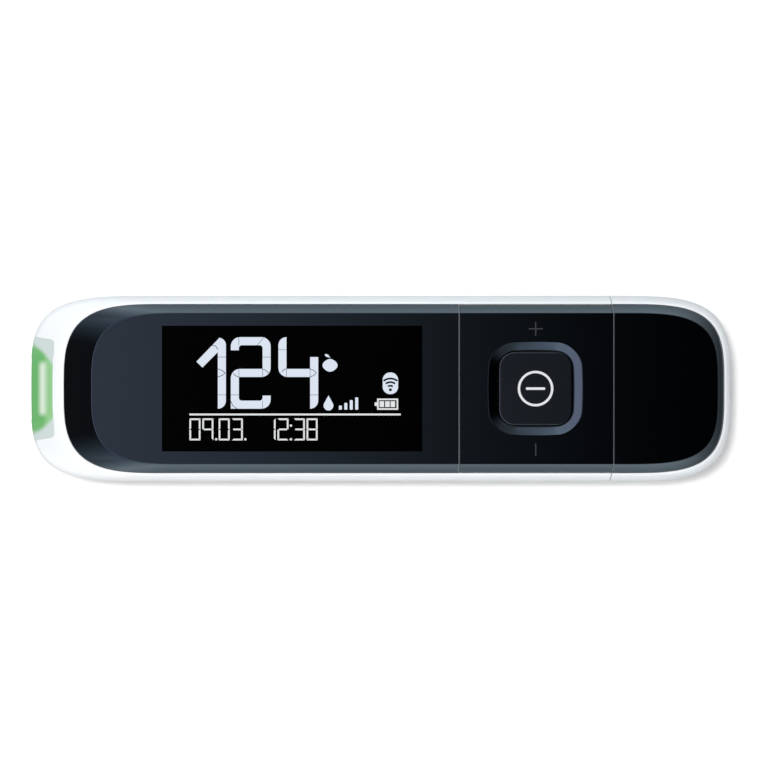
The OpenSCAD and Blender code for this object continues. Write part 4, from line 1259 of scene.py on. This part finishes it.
def make_world(scene):
    """Studio sky: soft over the panel, a ring of softboxes half-way up, dim low down and behind the tail."""
    world = scene.world or bpy.data.worlds.new("studio")
    scene.world = world
    world.use_nodes = True
    sky = Nodes(world.node_tree)
    out = sky.node("ShaderNodeOutputWorld")
    back = sky.node("ShaderNodeBackground")
    sky.link(back.outputs[0], out.inputs[0])
    split = sky.node("ShaderNodeSeparateXYZ")
    sky.link(sky.node("ShaderNodeTexCoord").outputs["Generated"], split.inputs[0])

    def ramp(source, *stops):
        """Colours along a source, from the first stop to the last; a single number is a grey."""
        low, high = stops[0][0], stops[-1][0]
        node = sky.node("ShaderNodeValToRGB")
        sky.link(sky.mapped(source, "From", low, high), node.inputs["Fac"])
        elements = node.color_ramp.elements
        while len(elements) < len(stops):
            elements.new(0.5)
        for element, (at, tint) in zip(elements, stops):
            tint = tint if isinstance(tint, tuple) else (tint, tint, tint)
            element.position, element.color = (at - low) / (high - low), (*tint, 1.0)
        return node.outputs["Color"]

    def join(operation, *parts):
        """The parts multiplied or added, one after another."""
        whole = parts[0]
        for part in parts[1:]:
            node = sky.node("ShaderNodeVectorMath", operation=operation)
            sky.link(whole, node.inputs[0])
            sky.link(part, node.inputs[1])
            whole = node.outputs[0]
        return whole

    # Parts of the direction along the meter, up and across it, and the way that it points seen from above
    x, up = split.outputs["X"], split.outputs["Z"]
    side = sky.math("ABSOLUTE", split.outputs["Y"])
    level_part = sky.math("SUBTRACT", 1.0, sky.math("MULTIPLY", up, up))
    reach = sky.math("SQRT", sky.math("MAXIMUM", level_part, 0.0001))
    way = sky.math("DIVIDE", x, reach)
    over_nose, low_nose = (1.57, 1.53, 1.56), (0.16, 0.146, 0.13)
    low_side, under_side = (1.45, 1.74, 1.9), (1.74, 2.04, 2.14)
    overhead = join(
        "MULTIPLY",
        ramp(x, (-1.0, 0.0), (-0.4, over_nose), (-0.15, over_nose), (0.03, (0.32, 0.325, 0.29)),
             (0.11, (0.043, 0.045, 0.04)), (0.16, 0.0), (1.0, 0.0)),
        ramp(side, (0.0, 1.0), (0.12, 1.0), (0.3, 0.0), (1.0, 0.0)),
        ramp(up, (0.0, 0.0), (0.85, 0.0), (0.9, 1.0), (1.0, 1.0)))
    boxes = join(
        "MULTIPLY",
        ramp(up, (0.0, 0.0), (0.56, 0.0), (0.64, 1.0), (0.81, 1.0), (0.88, 0.0), (1.0, 0.0)),
        ramp(way, (-1.0, (5.1, 4.62, 5.0)), (0.05, (4.75, 4.96, 4.8)), (0.10, (2.8, 2.93, 3.1)),
             (0.15, (1.44, 1.46, 1.2)), (0.7, (1.02, 0.96, 0.85)), (0.95, 0.05), (1.0, 0.0)))
    low = join(
        "MULTIPLY",
        ramp(up, (-0.02, 0.0), (0.0, 1.0), (0.5, 1.0), (0.58, 0.0), (1.0, 0.0)),
        ramp(way, (-1.0, low_nose), (-0.95, low_nose), (-0.75, (0.76, 0.9, 0.92)),
             (-0.55, (1.4, 1.53, 1.65)), (-0.2, low_side), (0.2, low_side), (0.7, 0.4), (1.0, 0.05)))
    under = join(
        "MULTIPLY",
        ramp(up, (-1.0, 0.3), (-0.68, (0.553, 0.749, 0.857)), (-0.47, under_side), (-0.02, under_side),
             (0.0, 0.0), (1.0, 0.0)),
        ramp(way, (-1.0, 0.45), (-0.55, 0.5), (-0.28, 1.0), (0.2, 1.0), (0.7, 0.38), (1.0, 0.2)))
    mirrored = join("ADD", overhead, boxes, low, under)
    grey = sky.node("ShaderNodeRGBToBW")
    sky.link(mirrored, grey.inputs[0])
    switch = sky.node("ShaderNodeMix", data_type="RGBA")
    sky.link(sky.node("ShaderNodeLightPath").outputs["Is Glossy Ray"], switch.inputs["Factor"])
    sky.link(sky.math("MULTIPLY", grey.outputs[0], SKY_FILL), switch.inputs[6])
    sky.link(mirrored, switch.inputs[7])
    sky.link(switch.outputs[2], back.inputs["Color"])


def add_lamp(name, power, place, width, tint):
    """Square lamp aimed at the meter, with no mirrored image of its own."""
    data = bpy.data.lights.new(name, "AREA")
    data.energy, data.size, data.color = power, width, tint
    lamp = bpy.data.objects.new(name, data)
    lamp.location = place
    lamp.rotation_euler = (-Vector(place)).to_track_quat("-Z", "Y").to_euler()
    lamp.visible_glossy = False
    bpy.context.scene.collection.objects.link(lamp)


class METER_OT_stage(bpy.types.Operator):
    """Sets the floor, the lights and the camera"""

    bl_idname = "meter.stage"
    bl_label = "Stage"

    def execute(self, context):
        scene, c = context.scene, context.scene.meter_colours
        camera = bpy.data.objects.new("camera", bpy.data.cameras.new("camera"))
        scene.collection.objects.link(camera)
        camera.location = CAMERA_PLACE
        camera.data.lens, camera.data.sensor_width = LENS_MM, SENSOR_MM
        camera.data.clip_start, camera.data.clip_end = CLIP_NEAR, CLIP_FAR
        scene.camera = camera
        scene.view_settings.view_transform = "Standard"
        scene.view_settings.look = "None"
        floor = block("floor", (-FLOOR_HALF, -FLOOR_HALF, -FLOOR_DEPTH),
                      (FLOOR_HALF, FLOOR_HALF, -FLOOR_DROP))
        finish = Finish("floor_white", c.floor, 0.8)
        finish.vary_colour(finish.noise(3.0), 0.995, 1.0)
        floor.data.materials.append(finish.material)
        floor.visible_glossy = False
        make_world(scene)
        for lamp in LAMPS:
            add_lamp(*lamp)
        return {"FINISHED"}


class METER_PT_sidebar(bpy.types.Panel):
    """Lists the steps that build the meter"""

    bl_label = "Glucose meter"
    bl_idname = "METER_PT_sidebar"
    bl_space_type = "VIEW_3D"
    bl_region_type = "UI"
    bl_category = "Meter"

    def draw(self, context):
        for operator in STEPS:
            self.layout.operator(operator.bl_idname)
        for name in ("body_len", "dish_w", "dish_depth", "edge_r"):
            self.layout.prop(context.scene.meter_sizes, name)
        for name in ("shell", "panel", "glow"):
            self.layout.prop(context.scene.meter_colours, name)


STEPS = (METER_OT_stage, METER_OT_shells, METER_OT_panel, METER_OT_keys, METER_OT_display,
         METER_OT_light_guide, METER_OT_inner_parts)
CLASSES = (MeterSizes, MeterColours, *STEPS, METER_PT_sidebar)


def register():
    for cls in CLASSES:
        bpy.utils.register_class(cls)
    bpy.types.Scene.meter_sizes = PointerProperty(type=MeterSizes)
    bpy.types.Scene.meter_colours = PointerProperty(type=MeterColours)


def unregister():
    del bpy.types.Scene.meter_colours
    del bpy.types.Scene.meter_sizes
    for cls in reversed(CLASSES):
        bpy.utils.unregister_class(cls)


def main():
    register()
    bpy.ops.meter.stage()
    bpy.ops.meter.shells()
    bpy.ops.meter.panel()
    bpy.ops.meter.keys()
    bpy.ops.meter.display()
    bpy.ops.meter.light_guide()
    bpy.ops.meter.inner_parts()


if __name__ == "__main__":
    main()
